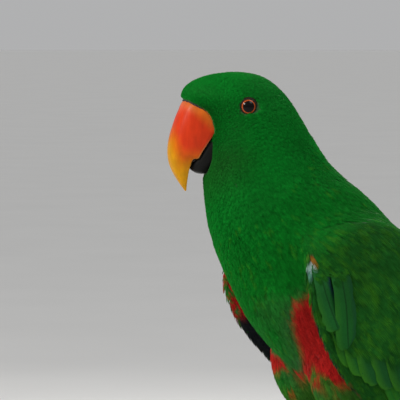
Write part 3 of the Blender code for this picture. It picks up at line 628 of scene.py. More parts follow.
def plumeTint(points):
    along, dorsal = trunkPlace(points)
    x = np.abs(points[..., 0])
    root = headPoint(*coatForm["billRoot"])
    fromBill = np.linalg.norm(points - root, axis=-1)

    def lay(under, colour, share):
        return blend(under, palette[colour], share[..., None])

    tint = np.broadcast_to(palette["body"], points.shape).copy()
    tint = lay(tint, "head", ease((75 - fromBill) / 40))
    below = root[2] - points[..., 2]
    tint = lay(tint, "throat", 0.75 * ease((40 - fromBill) / 20) * ease((below - 2) / 12))
    tint = lay(tint, "mantle", ease((along + 12) / 34) * ease((dorsal + 24) / 18))
    tint = lay(tint, "belly", 0.8 * ease((along + 10) / 30) * ease((-14 - dorsal) / 14))
    bound = through(flank["along"], flank["bound"], along)
    inside = ease((dorsal - bound) / 3.0) * (1 - ease((dorsal - 2) / 8)) * (x < 33)
    gap = np.abs(dorsal - through(flank["gapAlong"], flank["gap"], along))
    wedge = ease((0.22 * (along - 40) - gap) / 1.6)
    smoke = ease((softNoise(points, 30.0, 25) + 0.1) / 0.9) * ease((along + 8) / 14) * ease((-2 - dorsal) / 12)
    tint = lay(tint, "smoke", 0.3 * smoke)
    fringe = ease((dorsal - bound + 6) / 6) * ease((along - 6) / 10) * ease((-8 - dorsal) / 8)
    tint = lay(tint, "smoke", 0.6 * fringe)
    tint = lay(tint, "red", inside * ease((along - 11) / 6) * (1 - ease((along - 55) / 7)))
    tint = lay(tint, "thigh", wedge)
    leg = onThigh(points)
    z = points[..., 2]
    streak = softNoise(points * (1, 1, 0.25), 9.0, 21)
    tint = lay(tint, "thigh", leg * ease((156 - z) / 8))
    tint = lay(tint, "leaf", 0.6 * leg * ease((-streak - 0.2) / 0.8) * ease((152 - z) / 8))
    tint = lay(tint, "ember", 0.75 * leg * ease((streak - 0.4) / 0.5) * ease((z - 138) / 8) * ease((160 - z) / 8))
    belly = ease((-points[..., 0] - 5) / 3) * ease((along - 35) / 4) * ease((46 - along) / 4) * ease((-30 - dorsal) / 4)
    tint = lay(tint, "red", belly)
    _, share, lift = wingPlace(points)
    arm = onArm(points)
    left = points[..., 0] > 0
    start = np.where(left, mould["start"][1], mould["start"][-1])
    tint = lay(tint, "covert", arm * ease((along - start + 3) / 18) * ease((share + 0.03) / 0.16))
    fleck = softNoise(points * (1, 1, 0.45), 5.0, 22)
    tint = lay(tint, "leaf", 0.5 * arm * ease((fleck - 0.2) / 0.8) * ease((along - 4) / 20))
    lining = arm * ease((1.6 - lift) / 0.6) * ease((share - 0.6) / 0.1) * ease((along - np.where(left, 9, -9)) / 5)
    tint = lay(tint, "red", lining)
    tint = lay(tint, "black", lining * ease((along - 20) / 7))
    bend = arm * ease((lift - 0.8) / 0.8)
    spot = np.hypot((share - 0.95) / 0.085, (along - 4.2) / 2.6)
    tint = lay(tint, "turquoise", left * bend * ease((1.1 - spot) / 0.3))
    spot = np.hypot((share - 0.89) / 0.07, (along - 2.0) / 3.0)
    return lay(tint, "ember", 0.48 * left * bend * ease((1.4 - spot) / 1.2))


# Feather tufts

# one body feather: a short vane whose outer half parts into barbs. Across and along are shares of its
# half width and length, lift is a share of the coat's height. It is a closed lens with a ridge on each barb
def tuftTemplate(barbs):
    notches = np.linspace(-1, 1, barbs + 1)
    middles = (notches[1:] + notches[:-1]) / 2
    across = np.concatenate([[-0.3, 0.3, 0.0], notches, middles * 1.02, middles * 1.12])
    along = np.concatenate([
        [0.0, 0.0, 0.22], 0.5 - 0.07 * notches**2, 0.66 - 0.06 * middles**2, 1.0 - 0.2 * middles**2,
    ])
    ridge = np.concatenate([[0, 0, 0.14], 0 * notches, 0.16 + 0 * middles, 0 * middles])
    # shade is painted shade: darkest at the root, where the feathers over it shade it, darker in the notches between
    # barbs, brightest at the tips
    shade = np.concatenate([[0.5, 0.5, 0.66], 0.76 + 0 * notches, 1.0 + 0 * middles, 1.06 + 0 * middles])
    notch, middle, tip = 3, 4 + barbs, 4 + 2 * barbs
    faces = [(0, 1, 2), (1, notch + barbs, 2), (notch, 0, 2)]
    for j in range(barbs):
        left, right = notch + j, notch + j + 1
        faces += [(right, left, 2), (left, right, middle + j), (right, tip + j, middle + j), (tip + j, left, middle + j)]
    outer = len(faces)
    faces += [(notch + j + 1, notch + j, tip + j) for j in range(barbs)]
    faces += [(0, notch + j, notch + j + 1) for j in range(barbs)] + [(1, 0, notch + barbs)]
    facing = np.where(np.arange(len(faces)) < outer, 1.0, -1.0)
    barb = np.concatenate([[-1, -1, -1], -1 + 0 * notches, np.arange(barbs), np.arange(barbs)]).astype(int)
    return {
        "across": across, "along": along, "ridge": ridge, "shade": shade, "barb": barb, "faces": np.array(faces),
        "facing": facing,
    }


# points laid on the skin, and its normals there: the nearest place on it, taken twice, at two heights
def layOnSkin(skin, points):
    mesh = bpy.data.meshes.new("layout")
    flat = points.reshape(-1, 3)
    mesh.vertices.add(len(flat))
    mesh.vertices.foreach_set("co", (flat * mm).astype(np.float32).ravel())
    holder = bpy.data.objects.new("layout", mesh)
    bpy.context.scene.collection.objects.link(holder)
    wrap = holder.modifiers.new("wrap", "SHRINKWRAP")
    wrap.target = skin
    wrap.wrap_method = "NEAREST_SURFACEPOINT"
    wrap.wrap_mode = "ABOVE_SURFACE"
    found = []
    for height in (0.0, 1.0):
        wrap.offset = height * mm
        bpy.context.view_layer.update()
        graph = bpy.context.evaluated_depsgraph_get()
        laid = holder.evaluated_get(graph).data
        place = np.empty(len(flat) * 3, np.float32)
        laid.vertices.foreach_get("co", place)
        found.append(place.reshape(points.shape) / mm)
    bpy.data.objects.remove(holder)
    bpy.data.meshes.remove(mesh)
    return found[0], unit(found[1] - found[0])


# even places on the skin: one stratified draw along the running sum of each triangle's area x density
def scatterRoots(skin, density, seed):
    mesh = skin.data
    mesh.calc_loop_triangles()
    corners = np.empty(len(mesh.loop_triangles) * 3, np.int32)
    mesh.loop_triangles.foreach_get("vertices", corners)
    place = np.empty(len(mesh.vertices) * 3, np.float32)
    mesh.vertices.foreach_get("co", place)
    corner = (place.reshape(-1, 3).astype(float) / mm)[corners.reshape(-1, 3)]
    cross = np.cross(corner[:, 1] - corner[:, 0], corner[:, 2] - corner[:, 0])
    centre = corner.mean(1)
    weight = np.linalg.norm(cross, axis=1) / 2 * density(centre)
    running = np.cumsum(weight)
    count = int(running[-1])
    rng = np.random.default_rng(seed)
    pick = (np.arange(count) + rng.uniform(0, 1, count)) * running[-1] / count
    face = np.clip(np.searchsorted(running, pick), 0, len(weight) - 1)
    a, b = rng.uniform(0, 1, (2, count))
    flip = a + b > 1
    a[flip], b[flip] = 1 - a[flip], 1 - b[flip]
    tri = corner[face]
    roots = tri[:, 0] + (tri[:, 1] - tri[:, 0]) * a[:, None] + (tri[:, 2] - tri[:, 0]) * b[:, None]
    return roots, unit(cross[face])


# direction of the lie: away from the bill on the face, then along the trunk, and down the leg on the thighs
def lieOf(points, normals):
    root = headPoint(*coatForm["billRoot"])
    away = points - root
    share = 1 - ease((np.linalg.norm(away, axis=-1) - 20) / 30)
    c, s = math.cos(birdForm["pitch"]), math.sin(birdForm["pitch"])
    way = blend(np.array([0, c, -s]), unit(away), share[..., None])
    leg = onThigh(points)[..., None]
    way = blend(way, np.array([0.0, 0.35, -0.94]), leg)
    return unit(way - normals * (way * normals).sum(-1, keepdims=True))


# 0 off the thighs to 1 on them
def onThigh(points):
    _, dorsal = trunkPlace(points)
    share = np.zeros(points.shape[:-1])
    for side in (1, -1):
        top, ankle = (np.array(legForm[k][side]) * (side, 1, 1) for k in ("top", "ankle"))
        t = np.clip(((points - top) @ (ankle - top)) / ((ankle - top) @ (ankle - top)), 0, 1.15)
        axis = top + (ankle - top) * t[..., None]
        axis[..., 1] += legForm["bow"] * np.sin(math.pi * np.clip(t, 0, 1))
        near = np.linalg.norm(points - axis, axis=-1)
        share = np.maximum(share, ease((t - 0.18) / 0.25) * ease((17.5 - near) / 2) * (np.sign(points[..., 0]) == side))
    return share


# an unwrap of the body by its own shape: angle round a bent middle line, and distance along the trunk
def bodyUnwrap(points):
    along, dorsal = trunkPlace(points)
    middle = through((-90, -57, -36, 0, 60), (24, 13, 11, 0, 0), along)
    angle = np.arctan2(points[..., 0], middle - dorsal)
    return np.stack([0.5 + angle / (2 * math.pi) * 0.96, 0.02 + (along + 95) / 280 * 0.96], -1)


# the thighs: angle round each leg, and height; one leg beside the other
def thighUnwrap(points):
    right = points[..., 0] < 0
    turn = np.empty(points.shape[:-1])
    for side, here in ((1, ~right), (-1, right)):
        top, ankle = (np.array(legForm[k][side]) * (side, 1, 1) for k in ("top", "ankle"))
        axis = top + (ankle - top) * ((top[2] - points[here][:, 2:]) / (top[2] - ankle[2]))
        turn[here] = np.arctan2(points[here][:, 0] - axis[:, 0], points[here][:, 1] - axis[:, 1])
    u = 0.02 + (0.5 + turn / (2 * math.pi)) * 0.44 + 0.5 * right
    return np.stack([u, 0.02 + (points[..., 2] - 115) / 70 * 0.96], -1)


# the wing's arm: share across it and distance along it, with its inner face beside the outer one
def wingUnwrap(points):
    along, share, lift = wingPlace(points)
    u = 0.02 + np.clip((share + 0.05) / 1.35, 0, 1) * 0.45 + 0.5 * (lift < 1.5)
    return np.stack([u, 0.02 + np.clip((along + 18) / 118, 0, 1) * 0.96], -1)


tuftForm = {
    "fromBill": (12, 24, 40, 58, 85),        # distance from the bill's root
    "length": (2.4, 3.4, 5.2, 7.6, 10.5),
    "slim": (0.17, 0.15, 0.13, 0.115, 0.105),  # half width for each mm of length
    "layers": 7.5,                           # feathers over each point of the skin
    "sink": 0.45,
    "rounding": 0.3,
    "steps": 4,
    "sag": 0.3,                              # how far a shaft may hang under its own chord
    "patch": 0.003,                          # side of a feather's patch in the bake map
}


def tuftSize(points):
    along, dorsal = trunkPlace(points)
    fromBill = np.linalg.norm(points - headPoint(*coatForm["billRoot"]), axis=-1)
    length = through(tuftForm["fromBill"], tuftForm["length"], fromBill)
    slim = through(tuftForm["fromBill"], tuftForm["slim"], fromBill)
    length = blend(length, 16.0, ease((along - 110) / 30))
    length = blend(length, 6.0, onThigh(points) * ease((145 - points[..., 2]) / 15))
    _, share, _ = wingPlace(points)
    length = blend(length, 13.0, onArm(points) * ease((along - 6) / 14))
    length = blend(length, 7.5, onArm(points) * ease((share - 0.86) / 0.08))
    return length, length * slim


# shafts laid step by step, so that they follow the ground into hollows and over ridges
def layShafts(under, roots, normals, lie, length):
    places, ups, ways = [roots], [normals], [lie]
    for _ in range(tuftForm["steps"]):
        place, up = layOnSkin(under, places[-1] + ways[-1] * (length / tuftForm["steps"])[:, None])
        places.append(place)
        ups.append(up)
        ways.append(unit(ways[-1] - up * (ways[-1] * up).sum(-1, keepdims=True)))
    return np.stack(places, 1), np.stack(ups, 1), np.stack(ways, 1)


# a coat piece: every root becomes one tuft, laid along what is under it and lifted over it towards the tips
def growCoat(name, under, roots, normals, size, rise, barbs, vary, contrast, mottle, seed, unwrap):
    rng = np.random.default_rng(seed)
    tuft = tuftTemplate(barbs)
    count, each = len(roots), len(tuft["across"])
    length, width = tuftSize(roots)
    length = size * length * rng.uniform(0.85, 1.15, count)
    lie = lieOf(roots, normals)
    swing = rng.normal(0, 0.1, count)[:, None]
    lie = lie * np.cos(swing) + np.cross(normals, lie) * np.sin(swing)
    stray = rng.normal(0, 0.05, (count, each))
    across = (tuft["across"] + stray * (tuft["barb"] >= 0)) * width[:, None]
    steps = tuftForm["steps"]
    places, ups, _ = layShafts(under, roots, normals, lie, length)
    # the sag of a shaft grows with the square of its length, so one in a hollow is cut to fit
    sag = (((places[:, 0] + places[:, -1]) / 2 - places[:, steps // 2]) * ups[:, steps // 2]).sum(-1)
    length = length * np.sqrt(np.clip(tuftForm["sag"] / np.maximum(sag, 0.001), 0, 1))
    shafts = layShafts(under, roots, normals, lie, length)
    before = np.minimum((tuft["along"] * steps).astype(int), steps - 1)
    share = (tuft["along"] * steps - before)[:, None]
    middle, up, way = (blend(v[:, before], v[:, before + 1], share) for v in shafts)
    side = unit(np.cross(up, way))
    ground, _ = layOnSkin(under, middle + side * across[..., None])
    _, up = layOnSkin(softSkin, ground)
    rise = rise * rng.uniform(0.8, 1.12, count)
    climb = tuft["along"] ** 0.8
    height = -tuftForm["sink"] + (rise + tuftForm["sink"])[:, None] * climb + tuft["ridge"]
    height -= 0.12 * tuft["across"] ** 2
    points = ground + up * height[..., None]
    # brightness of each point: the template's painted shade (dark roots and notches, bright tips) scaled by contrast,
    # times a random tone for each barb and each feather
    barbShade = rng.uniform(1 - vary, 1 + vary, (count, barbs + 1))[:, tuft["barb"]]
    shade = (1 + (tuft["shade"] - 1) * contrast) * barbShade * rng.normal(1, 0.04, count)[:, None]
    tint = plumeTint(roots + lie * (0.6 * length)[:, None])
    green = ease((tint[:, 1] - 2 * tint[:, 0]) / 0.02)
    lighter = 0.4 * green * (rng.uniform(0, 1, count) < mottle)
    tint = blend(tint, palette["leaf"], lighter[:, None])[:, None] * shade[..., None]
    patch = np.stack([tuft["across"], 2 * tuft["along"] - 1], -1) * tuftForm["patch"] / 2
    bake = unwrap(roots)[:, None] + patch
    vane = np.stack([0.5 + tuft["across"] * 0.42, tuft["along"]], -1)[None].repeat(count, 0)
    faces = (np.arange(count)[:, None, None] * each + tuft["faces"]).reshape(-1, 3)
    piece = makePiece(name, points, [faces], {"OFBake": bake, "vane": vane}, np.clip(tint, 0, 1))
    # the coat is shaded like one soft surface: normals of the skin, a little rounded over each feather
    domed = up + side * (tuftForm["rounding"] * tuft["across"] + rng.normal(0, 0.06, (count, 1)))[..., None]
    facing = np.tile(tuft["facing"], count)[:, None, None]
    piece.data.normals_split_custom_set((unit(domed).reshape(-1, 3)[faces] * facing).reshape(-1, 3))
    print(name, count, "feathers", len(faces), "triangles")
    return finishPiece(piece, featherSoft, "green_feathers")


print("skin")
skin, softSkin = buildSkin()
print("skin faces", len(skin.data.polygons))


# Bill

upperBill = {
    "sections": (   # culmen (forward, z), cutting edge, half width, from inside the head to the tip
        ((30.0, 281.0), (18.0, 268.0), 8.6),
        ((41.4, 276.2), (27.0, 263.4), 9.3),
        ((45.2, 270.2), (31.6, 257.5), 9.3),
        ((48.0, 262.5), (35.0, 252.3), 8.8),
        ((49.3, 257.5), (36.6, 249.6), 8.1),
        ((49.8, 252.5), (38.9, 249.0), 7.2),
        ((49.2, 247.5), (40.3, 245.2), 5.8),
        ((47.4, 243.0), (41.0, 241.0), 4.3),
        ((44.9, 238.9), (41.3, 237.8), 2.6),
        ((42.1, 234.9), (41.4, 234.8), 0.4),
    ),
    "outline": (
        (0, 1), (0.45, 0.93), (0.82, 0.7), (1.0, 0.3), (1.04, -0.15), (0.99, -0.62), (0.88, -1), (0.62, -0.84),
        (0, -0.68),
    ),
    "steps": 120,
}
lowerBill = {
    "sections": (
        ((20.0, 264.5), (22.0, 246.0), 7.4),
        ((27.4, 262.2), (28.6, 244.4), 8.0),
        ((32.6, 256.8), (33.0, 242.6), 7.6),
        ((35.8, 251.4), (36.2, 242.6), 6.6),
        ((38.2, 248.3), (38.5, 243.6), 5.2),
        ((39.9, 246.3), (40.1, 244.9), 3.4),
    ),
    "outline": ((0, 0.62), (0.55, 0.74), (0.86, 1), (0.98, 0.6), (1, 0.1), (0.9, -0.45), (0.62, -0.84), (0, -1)),
    "steps": 70,
}
billColour = {
    "highlightPink": paint(200, 96, 64),
    "red": paint(192, 50, 16),
    "orange": paint(194, 94, 0),
    "yellow": paint(192, 134, 0),
    "edge": paint(214, 176, 110),
    "margin": paint(200, 104, 22),
    "black": paint(14, 14, 13),
    "greyPatch": paint(38, 37, 35),
}


# rings of a bill: a closed outline hung between ridge and edge, 1 at the ridge and -1 at the edge
def billRings(form, around=72, out=0.0):
    at = np.linspace(0, len(form["sections"]) - 1, form["steps"])
    index = np.arange(len(form["sections"]))
    ridge = through(index, [s[0] for s in form["sections"]], at)
    edge = through(index, [s[1] for s in form["sections"]], at)
    half = through(index, [s[2] for s in form["sections"]], at) + out
    outline = np.array(form["outline"], float)
    closed = np.concatenate([outline, outline[-2::-1] * (-1, 1)])
    wide = np.concatenate([closed[-3:-1], closed, closed[1:3]])
    run = np.concatenate([[0], np.cumsum(np.linalg.norm(np.diff(wide, axis=0), axis=1))])
    shape = through(run, wide, np.linspace(run[2], run[-3], around + 1)[:-1])
    middle, reach = (ridge + edge) / 2, (ridge - edge) / 2
    length = np.linalg.norm(reach, axis=1)
    reach = reach * ((length + out) / length)[:, None]
    yz = middle[:, None] + reach[:, None] * shape[None, :, 1:2]
    return headPoint(half[:, None] * shape[None, :, 0], yz[..., 0], yz[..., 1]), shape


# the reverse of headPoint
def headPlace(points):
    level = turnHead(points, -1.0)
    return level[..., 0], birdForm["neckY"] - level[..., 1], level[..., 2]


def upperTint(points, shape):
    across, forward, z = headPlace(points)
    front = ease((forward - 38.5 - (268 - z) * 0.25) / 9)
    line = 253.0 + 11.0 * front
    mottle = 0.5 * softNoise(points, 6.0, 5)
    tint = blend(billColour["red"], billColour["orange"], ease((line + 3 + mottle - z) / 9)[..., None])
    tint = blend(tint, billColour["yellow"], ease((line - 2 + mottle - z) / 9)[..., None])
    # painted highlight: the top of the bill, near the forehead, turns pale pink where light catches it
    tint = blend(tint, billColour["highlightPink"], (0.75 * ease((z + mottle - 268) / 7))[..., None])
    # a paler margin where the bill leaves the feathers
    at = np.linspace(0, len(upperBill["sections"]) - 1, len(points))[:, None]
    tint = blend(tint, billColour["margin"], (0.85 * ease((1.7 - at) / 0.8))[..., None])
    edge = ease((-0.86 - shape[None, :, 1]) / 0.14) * ease((0.9 - np.abs(shape[None, :, 0])) / 0.1 + 0.6)
    return blend(tint, billColour["edge"], (0.7 * edge * ease((262 - z) / 10))[..., None])


def lowerTint(points, shape):
    # greyer patches from noise over the upper part of the black lower bill
    greyPatch = ease((softNoise(points, 5.0, 8) - 0.1) / 1.2) * ease((shape[None, :, 1] - 0.5) / 0.5)
    return blend(billColour["black"], billColour["greyPatch"], greyPatch[..., None])


def hornMaterial(name, roughness, coat, glow):
    material, tree, shader = newMaterial(
        name, roughness, Coat_Weight=coat, Coat_Roughness=0.22, Specular_IOR_Level=0.1, Subsurface_Weight=glow,
        Subsurface_Radius=(1.0, 0.35, 0.15), Subsurface_Scale=0.0012,
    )
    colour = addNode(tree, "Attribute", attribute_name="tint").outputs["Color"]
    mottle = ramp(tree, spaceNoise(tree, 240.0, 4.0), (0.3, 0.93), (0.7, 1.05))
    colour = multiply(tree, colour, mottle)
    grain = spaceNoise(tree, 500.0, 3.0, stretch=(1, 1, 0.28))
    colour = multiply(tree, colour, ramp(tree, grain, (0.35, 0.9), (0.65, 1.05)))
    tree.links.new(colour, shader.inputs["Base Color"])
    tree.links.new(ramp(tree, grain, (0.3, roughness - 0.06), (0.7, roughness + 0.1)), shader.inputs["Roughness"])
    addBump(tree, shader, grain, 0.25, 0.00015)
    return material


def makeBill(name, form, tintOf, material, node):
    rings, shape = billRings(form)
    side, fans = ringFaces(*rings.shape[:2])
    tint = ringValues(tintOf(rings, shape))
    piece = makePiece(name, ringPoints(rings), [side, fans], tint=tint, sharp=50)
    return finishPiece(piece, material, node, node), rings


print("bill")
hornWarm = hornMaterial("billHorn", 0.42, 0.05, 0.03)
hornBlack = hornMaterial("blackHorn", 0.5, 0.02, 0.0)
upperPiece, upperRings = makeBill("bill_upper", upperBill, upperTint, hornWarm, "upper_bill")
lowerPiece, lowerRings = makeBill("bill_lower", lowerBill, lowerTint, hornBlack, "lower_bill")


cereForm = {
    "radius": 0.42,
    "nostril": (8.2, 36.2, 273.0),
    "nostrilRadius": 0.95,
    "rim": 0.34,
}


# the cere: a low roll of bare skin where the upper bill leaves the feathers, over the ridge from edge to
# edge, and a small rim round each nostril. Its near-black colour is painted shade, the dark seam between bill and
# feathers
def makeCere():
    ground, up = layOnSkin(skin, upperRings)
    outside = ((upperRings - ground) * up).sum(-1) > -0.1
    around = upperRings.shape[1]
    first = outside.argmax(0)
    order = np.arange(-round(around * 0.34), round(around * 0.34) + 1) % around
    line, guide = (v[first[order], order] for v in (upperRings, up))
    weights = np.array([1, 3, 5, 3, 1]) / 13
    padded = np.concatenate([line[:1], line[:1], line, line[-1:], line[-1:]])
    line = sum(w * padded[k:k + len(line)] for k, w in enumerate(weights))
    t = np.linspace(-1, 1, 120)
    line, guide = (through(np.linspace(-1, 1, len(line)), v, t) for v in (line, guide))
    radii = cereForm["radius"] * (1 - 0.85 * ease((np.abs(t) - 0.42) / 0.3)) * (1 + 0.07 * np.sin(t * 60))
    rings = sweep(line, radii, guide, 18)
    quads, fans = ringFaces(*rings.shape[:2])
    points, faces = [ringPoints(rings)], [quads, fans]
    count = len(points[0])
    turn = (np.arange(40) * 2 * math.pi / 40)
    roll = (np.arange(12) * 2 * math.pi / 12)[None, :, None]
    for side in (1, -1):
        across, forward, z = cereForm["nostril"]
        radius = cereForm["nostrilRadius"]
        ring = headPoint(side * across, forward + radius * np.cos(turn), z + 0.8 * radius * np.sin(turn) * side)
        ground, up = layOnSkin(upperPiece, ring)
        out = unit(ground - ground.mean(0))
        rim = ground[:, None] + cereForm["rim"] * (up[:, None] * np.sin(roll) + out[:, None] * np.cos(roll))
        points.append(rim.reshape(-1, 3))
        faces.append(gridQuads(40, 12, True, True) + count)
        count += len(points[-1])
    piece = makePiece("cere_seam_shade", np.concatenate(points), faces)
    material, tree, shader = newMaterial("cereSeamShade", 0.6, Specular_IOR_Level=0.15)
    # near black all over: painted shade of the seam where bill and feathers meet
    colour = ramp(tree, spaceNoise(tree, 1200.0), (0.3, (0.016, 0.014, 0.014)), (0.7, (0.06, 0.048, 0.044)))
    tree.links.new(colour, shader.inputs["Base Color"])
    addBump(tree, shader, spaceNoise(tree, 2200.0), 0.35, 0.0002)
    return finishPiece(piece, material, "upper_bill")


makeCere()

tongueForm = {"place": (37.0, 248.6), "radii": (4.0, 4.2, 2.4), "groove": 0.5}


# the tongue: an ellipsoid, its top pressed in along the middle line
def makeTongue():
    polar = np.linspace(0.04, math.pi - 0.04, 28)[:, None]
    turn = (np.arange(36) * 2 * math.pi / 36)[None, :]
    rx, ry, rz = tongueForm["radii"]
    across = rx * np.sin(polar) * np.sin(turn)
    forward = tongueForm["place"][0] - ry * np.cos(polar) + 0 * turn
    up = rz * np.sin(polar) * np.cos(turn)
    up = up - tongueForm["groove"] * np.exp(-(across**2) / 0.8) * (up > 0)
    rings = headPoint(across, forward, tongueForm["place"][1] + up)
    side, fans = ringFaces(*rings.shape[:2])
    piece = makePiece("tongue_skin", ringPoints(rings), [side, fans])
    material, tree, shader = newMaterial("tongueSkin", 0.22, Coat_Weight=0.5, Coat_Roughness=0.1)
    colour = ramp(tree, spaceNoise(tree, 900.0), (0.3, (0.02, 0.016, 0.018)), (0.7, (0.07, 0.05, 0.055)))
    tree.links.new(colour, shader.inputs["Base Color"])
    addBump(tree, shader, spaceNoise(tree, 1800.0), 0.3, 0.0002)
    return finishPiece(piece, material, "tongue", "tongue")


makeTongue()

eyeForm = {
    "place": (16.6, 15.9, 272.8),
    "radius": 4.7,
    "pupil": 2.5,
    "iris": 3.05,
    "lid": 3.4,
    "lidWidth": 0.36,
    "cornea": 0.35,
}


# the eyeball: a sphere with its front drawn out a little as the cornea. Rings run from the front pole
def makeEye(side, word):
    polar = np.concatenate([[0.02], np.linspace(0.05, 1.4, 70), np.linspace(1.45, math.pi - 0.05, 20)])[:, None]
    turn = (np.arange(64) * 2 * math.pi / 64)[None, :]
    across0, forward0, z0 = eyeForm["place"]
    radius = eyeForm["radius"]
    off = radius * np.sin(polar)
    bulge = eyeForm["cornea"] * np.exp(-((off / 2.6) ** 2)) * (polar < 1.5)
    across = side * (across0 + radius * np.cos(polar) + bulge) + 0 * turn
    rings = headPoint(across, forward0 + off * np.cos(turn) * side, z0 + off * np.sin(turn))
    ray = 0.5 + 0.5 * np.sin(turn * 37) * np.sin(turn * 11 + 1)
    ring = ease((off - eyeForm["pupil"]) / 0.12) * (polar < 1.5)
    rim = ease((off - eyeForm["iris"] + 0.2) / 0.35)
    iris = blend(paint(104, 36, 10), paint(172, 76, 30), (0.35 + 0.65 * ray)[..., None] * np.ones((len(polar), 1, 1)))
    tint = blend(paint(5, 4, 4), iris, (ring + 0 * turn)[..., None])
    tint = blend(tint, paint(30, 16, 10), (np.maximum(rim, polar > 1.5) + 0 * turn)[..., None])
    faces, fans = ringFaces(*rings.shape[:2])
    piece = makePiece(f"eyeball_{word}", ringPoints(rings), [faces, fans], tint=ringValues(tint))
    return finishPiece(piece, eyeMaterial, "eye", f"eye_{word}")


# the lids: a ring of bare skin round the eye, its roll thicker above, with fine folds across it
def lidPoints(side):
    turn = (np.arange(96) * 2 * math.pi / 96)[:, None]
    roll = (np.arange(20) * 2 * math.pi / 20)[None, :]
    across0, forward0, z0 = eyeForm["place"]
    folds = 0.05 * np.sin(turn * 34) * np.cos(roll) + 0.06 * np.cos(roll * 3 + 1)
    width = eyeForm["lidWidth"] * (1 + 0.16 * np.sin(turn)) + folds
    radius = eyeForm["lid"] + width * np.cos(roll) * 0.8 + 0.12 * np.cos(2 * turn)
    across = across0 + 3.15 + width * np.sin(roll) - 0.12 * np.cos(turn)
    points = headPoint(side * across, forward0 + radius * np.cos(turn), z0 + radius * np.sin(turn))
    return points if side == 1 else points[::-1]


def makeLids():
    rings = [lidPoints(1), lidPoints(-1)]
    quads = gridQuads(96, 20, True, True)
    faces = np.concatenate([quads, quads + 96 * 20])
    points = np.concatenate([r.reshape(-1, 3) for r in rings])
    piece = makePiece("lids", points, [faces])
    material, tree, shader = newMaterial("lidSkin", 0.6, Specular_IOR_Level=0.12)
    colour = ramp(tree, spaceNoise(tree, 1500.0), (0.3, (0.004, 0.005, 0.004)), (0.7, (0.014, 0.016, 0.01)))
    tree.links.new(colour, shader.inputs["Base Color"])
    addBump(tree, shader, spaceNoise(tree, 2600.0), 0.4, 0.0002)
    return finishPiece(piece, material, "eye")


print("eyes")
eyeMaterial, eyeTree, eyeShader = newMaterial("eyeGloss", 0.3, Coat_Weight=0.2, Coat_Roughness=0.02, Specular_IOR_Level=0.02)
eyeColour = addNode(eyeTree, "Attribute", attribute_name="tint").outputs["Color"]
eyeFlecks = ramp(eyeTree, spaceNoise(eyeTree, 2400.0), (0.3, 0.8), (0.7, 1.15))
eyeTree.links.new(multiply(eyeTree, eyeColour, eyeFlecks), eyeShader.inputs["Base Color"])
for eyeSide, eyeWord in ((1, "left"), (-1, "right")):
    makeEye(eyeSide, eyeWord)
makeLids()


# Coat

featherSoft = featherMaterial("plumage", featherFinish["strands"], 0.6, False)
featherVane = featherMaterial("flightFeathers", -0.35 * featherFinish["vaneBarbs"], featherFinish["vaneBarbs"], True)
skinMaterial, skinTree, skinShader = newMaterial("underSkinShade", 0.8)
skinColour = addNode(skinTree, "Attribute", attribute_name="tint").outputs["Color"]
# the skin takes the plumage's tint darkened to 0.4 to 0.7 as painted shade: the shaded depths of the coat where the
# skin shows between feathers
skinShade = ramp(skinTree, spaceNoise(skinTree, 300.0), (0.3, 0.4), (0.7, 0.7))
skinTree.links.new(multiply(skinTree, skinColour, skinShade), skinShader.inputs["Base Color"])
addBump(skinTree, skinShader, spaceNoise(skinTree, 1200.0), 0.5, 0.0004)

skinPoints = np.empty(len(skin.data.vertices) * 3, np.float32)
skin.data.vertices.foreach_get("co", skinPoints)
skinPoints = skinPoints.reshape(-1, 3).astype(float) / mm
skinTint = np.concatenate([plumeTint(skinPoints), np.ones((len(skinPoints), 1))], 1)
skinLayer = skin.data.color_attributes.new(name="tint", type="FLOAT_COLOR", domain="POINT")
skinLayer.data.foreach_set("color", skinTint.astype(np.float32).ravel())
finishPiece(
    skin, skinMaterial, "green_feathers", "head", "neck", "torso", "tail", "wing_left", "wing_right", "thigh_left",
    "thigh_right",
)


# true where a point is inside a bill: behind the nearest point of its surface
def insideBill(points, rings, clear):
    sample = rings[::3, ::2]
    normal = unit(np.cross(np.gradient(sample, axis=1), np.gradient(sample, axis=0)))
    outward = np.sign(((sample - sample.mean(1, keepdims=True)) * normal).sum(-1).mean())
    sample, normal = sample.reshape(-1, 3), normal.reshape(-1, 3) * outward
    inside = np.zeros(len(points), bool)
    close = np.flatnonzero(np.linalg.norm(points - sample.mean(0), axis=1) < 40)
    for start in range(0, len(close), 2000):
        part = points[close[start:start + 2000]]
        gap = ((part[:, None] - sample[None]) ** 2).sum(-1)
        nearest = gap.argmin(1)
        inside[close[start:start + 2000]] = ((part - sample[nearest]) * normal[nearest]).sum(-1) < clear
    return inside


def openFace(roots, normals):
    length, _ = tuftSize(roots)
    tips = roots + lieOf(roots, normals) * length[:, None]
    keep = ~insideBill(roots, upperRings, -0.35) & ~insideBill(roots, lowerRings, -0.35)
    for place in (roots, (roots + tips) / 2, tips):
        across, forward, z = headPlace(place)
        fromEye = np.hypot(forward - eyeForm["place"][1], z - eyeForm["place"][2])
        keep &= (fromEye > eyeForm["lid"] + 0.1) | (np.abs(across) < 12) | (z < 262)
    return keep


# the region of the coat that a place belongs to
def coatRegion(points):
    along, dorsal = trunkPlace(points)
    fromBill = np.linalg.norm(points - headPoint(*coatForm["billRoot"]), axis=-1)
    region = np.where(dorsal < 4, "breast", "back")
    region = np.where(along < 2, "neck", region)
    region = np.where(fromBill < 46, "head", region)
    region = np.where(fromBill < 37, "cheek", region)
    region = np.where(fromBill < 26, "face", region)
    region = np.where(onThigh(points) > 0.5, "thighs", region)
    arm = np.where(points[..., 0] > 0, "arm_left", "arm_right")
    return np.where(onArm(points) > 0.5, arm, region)


def tuftDensity(points):
    length, width = tuftSize(points)
    return tuftForm["layers"] / (length * width * 2 * 0.7)


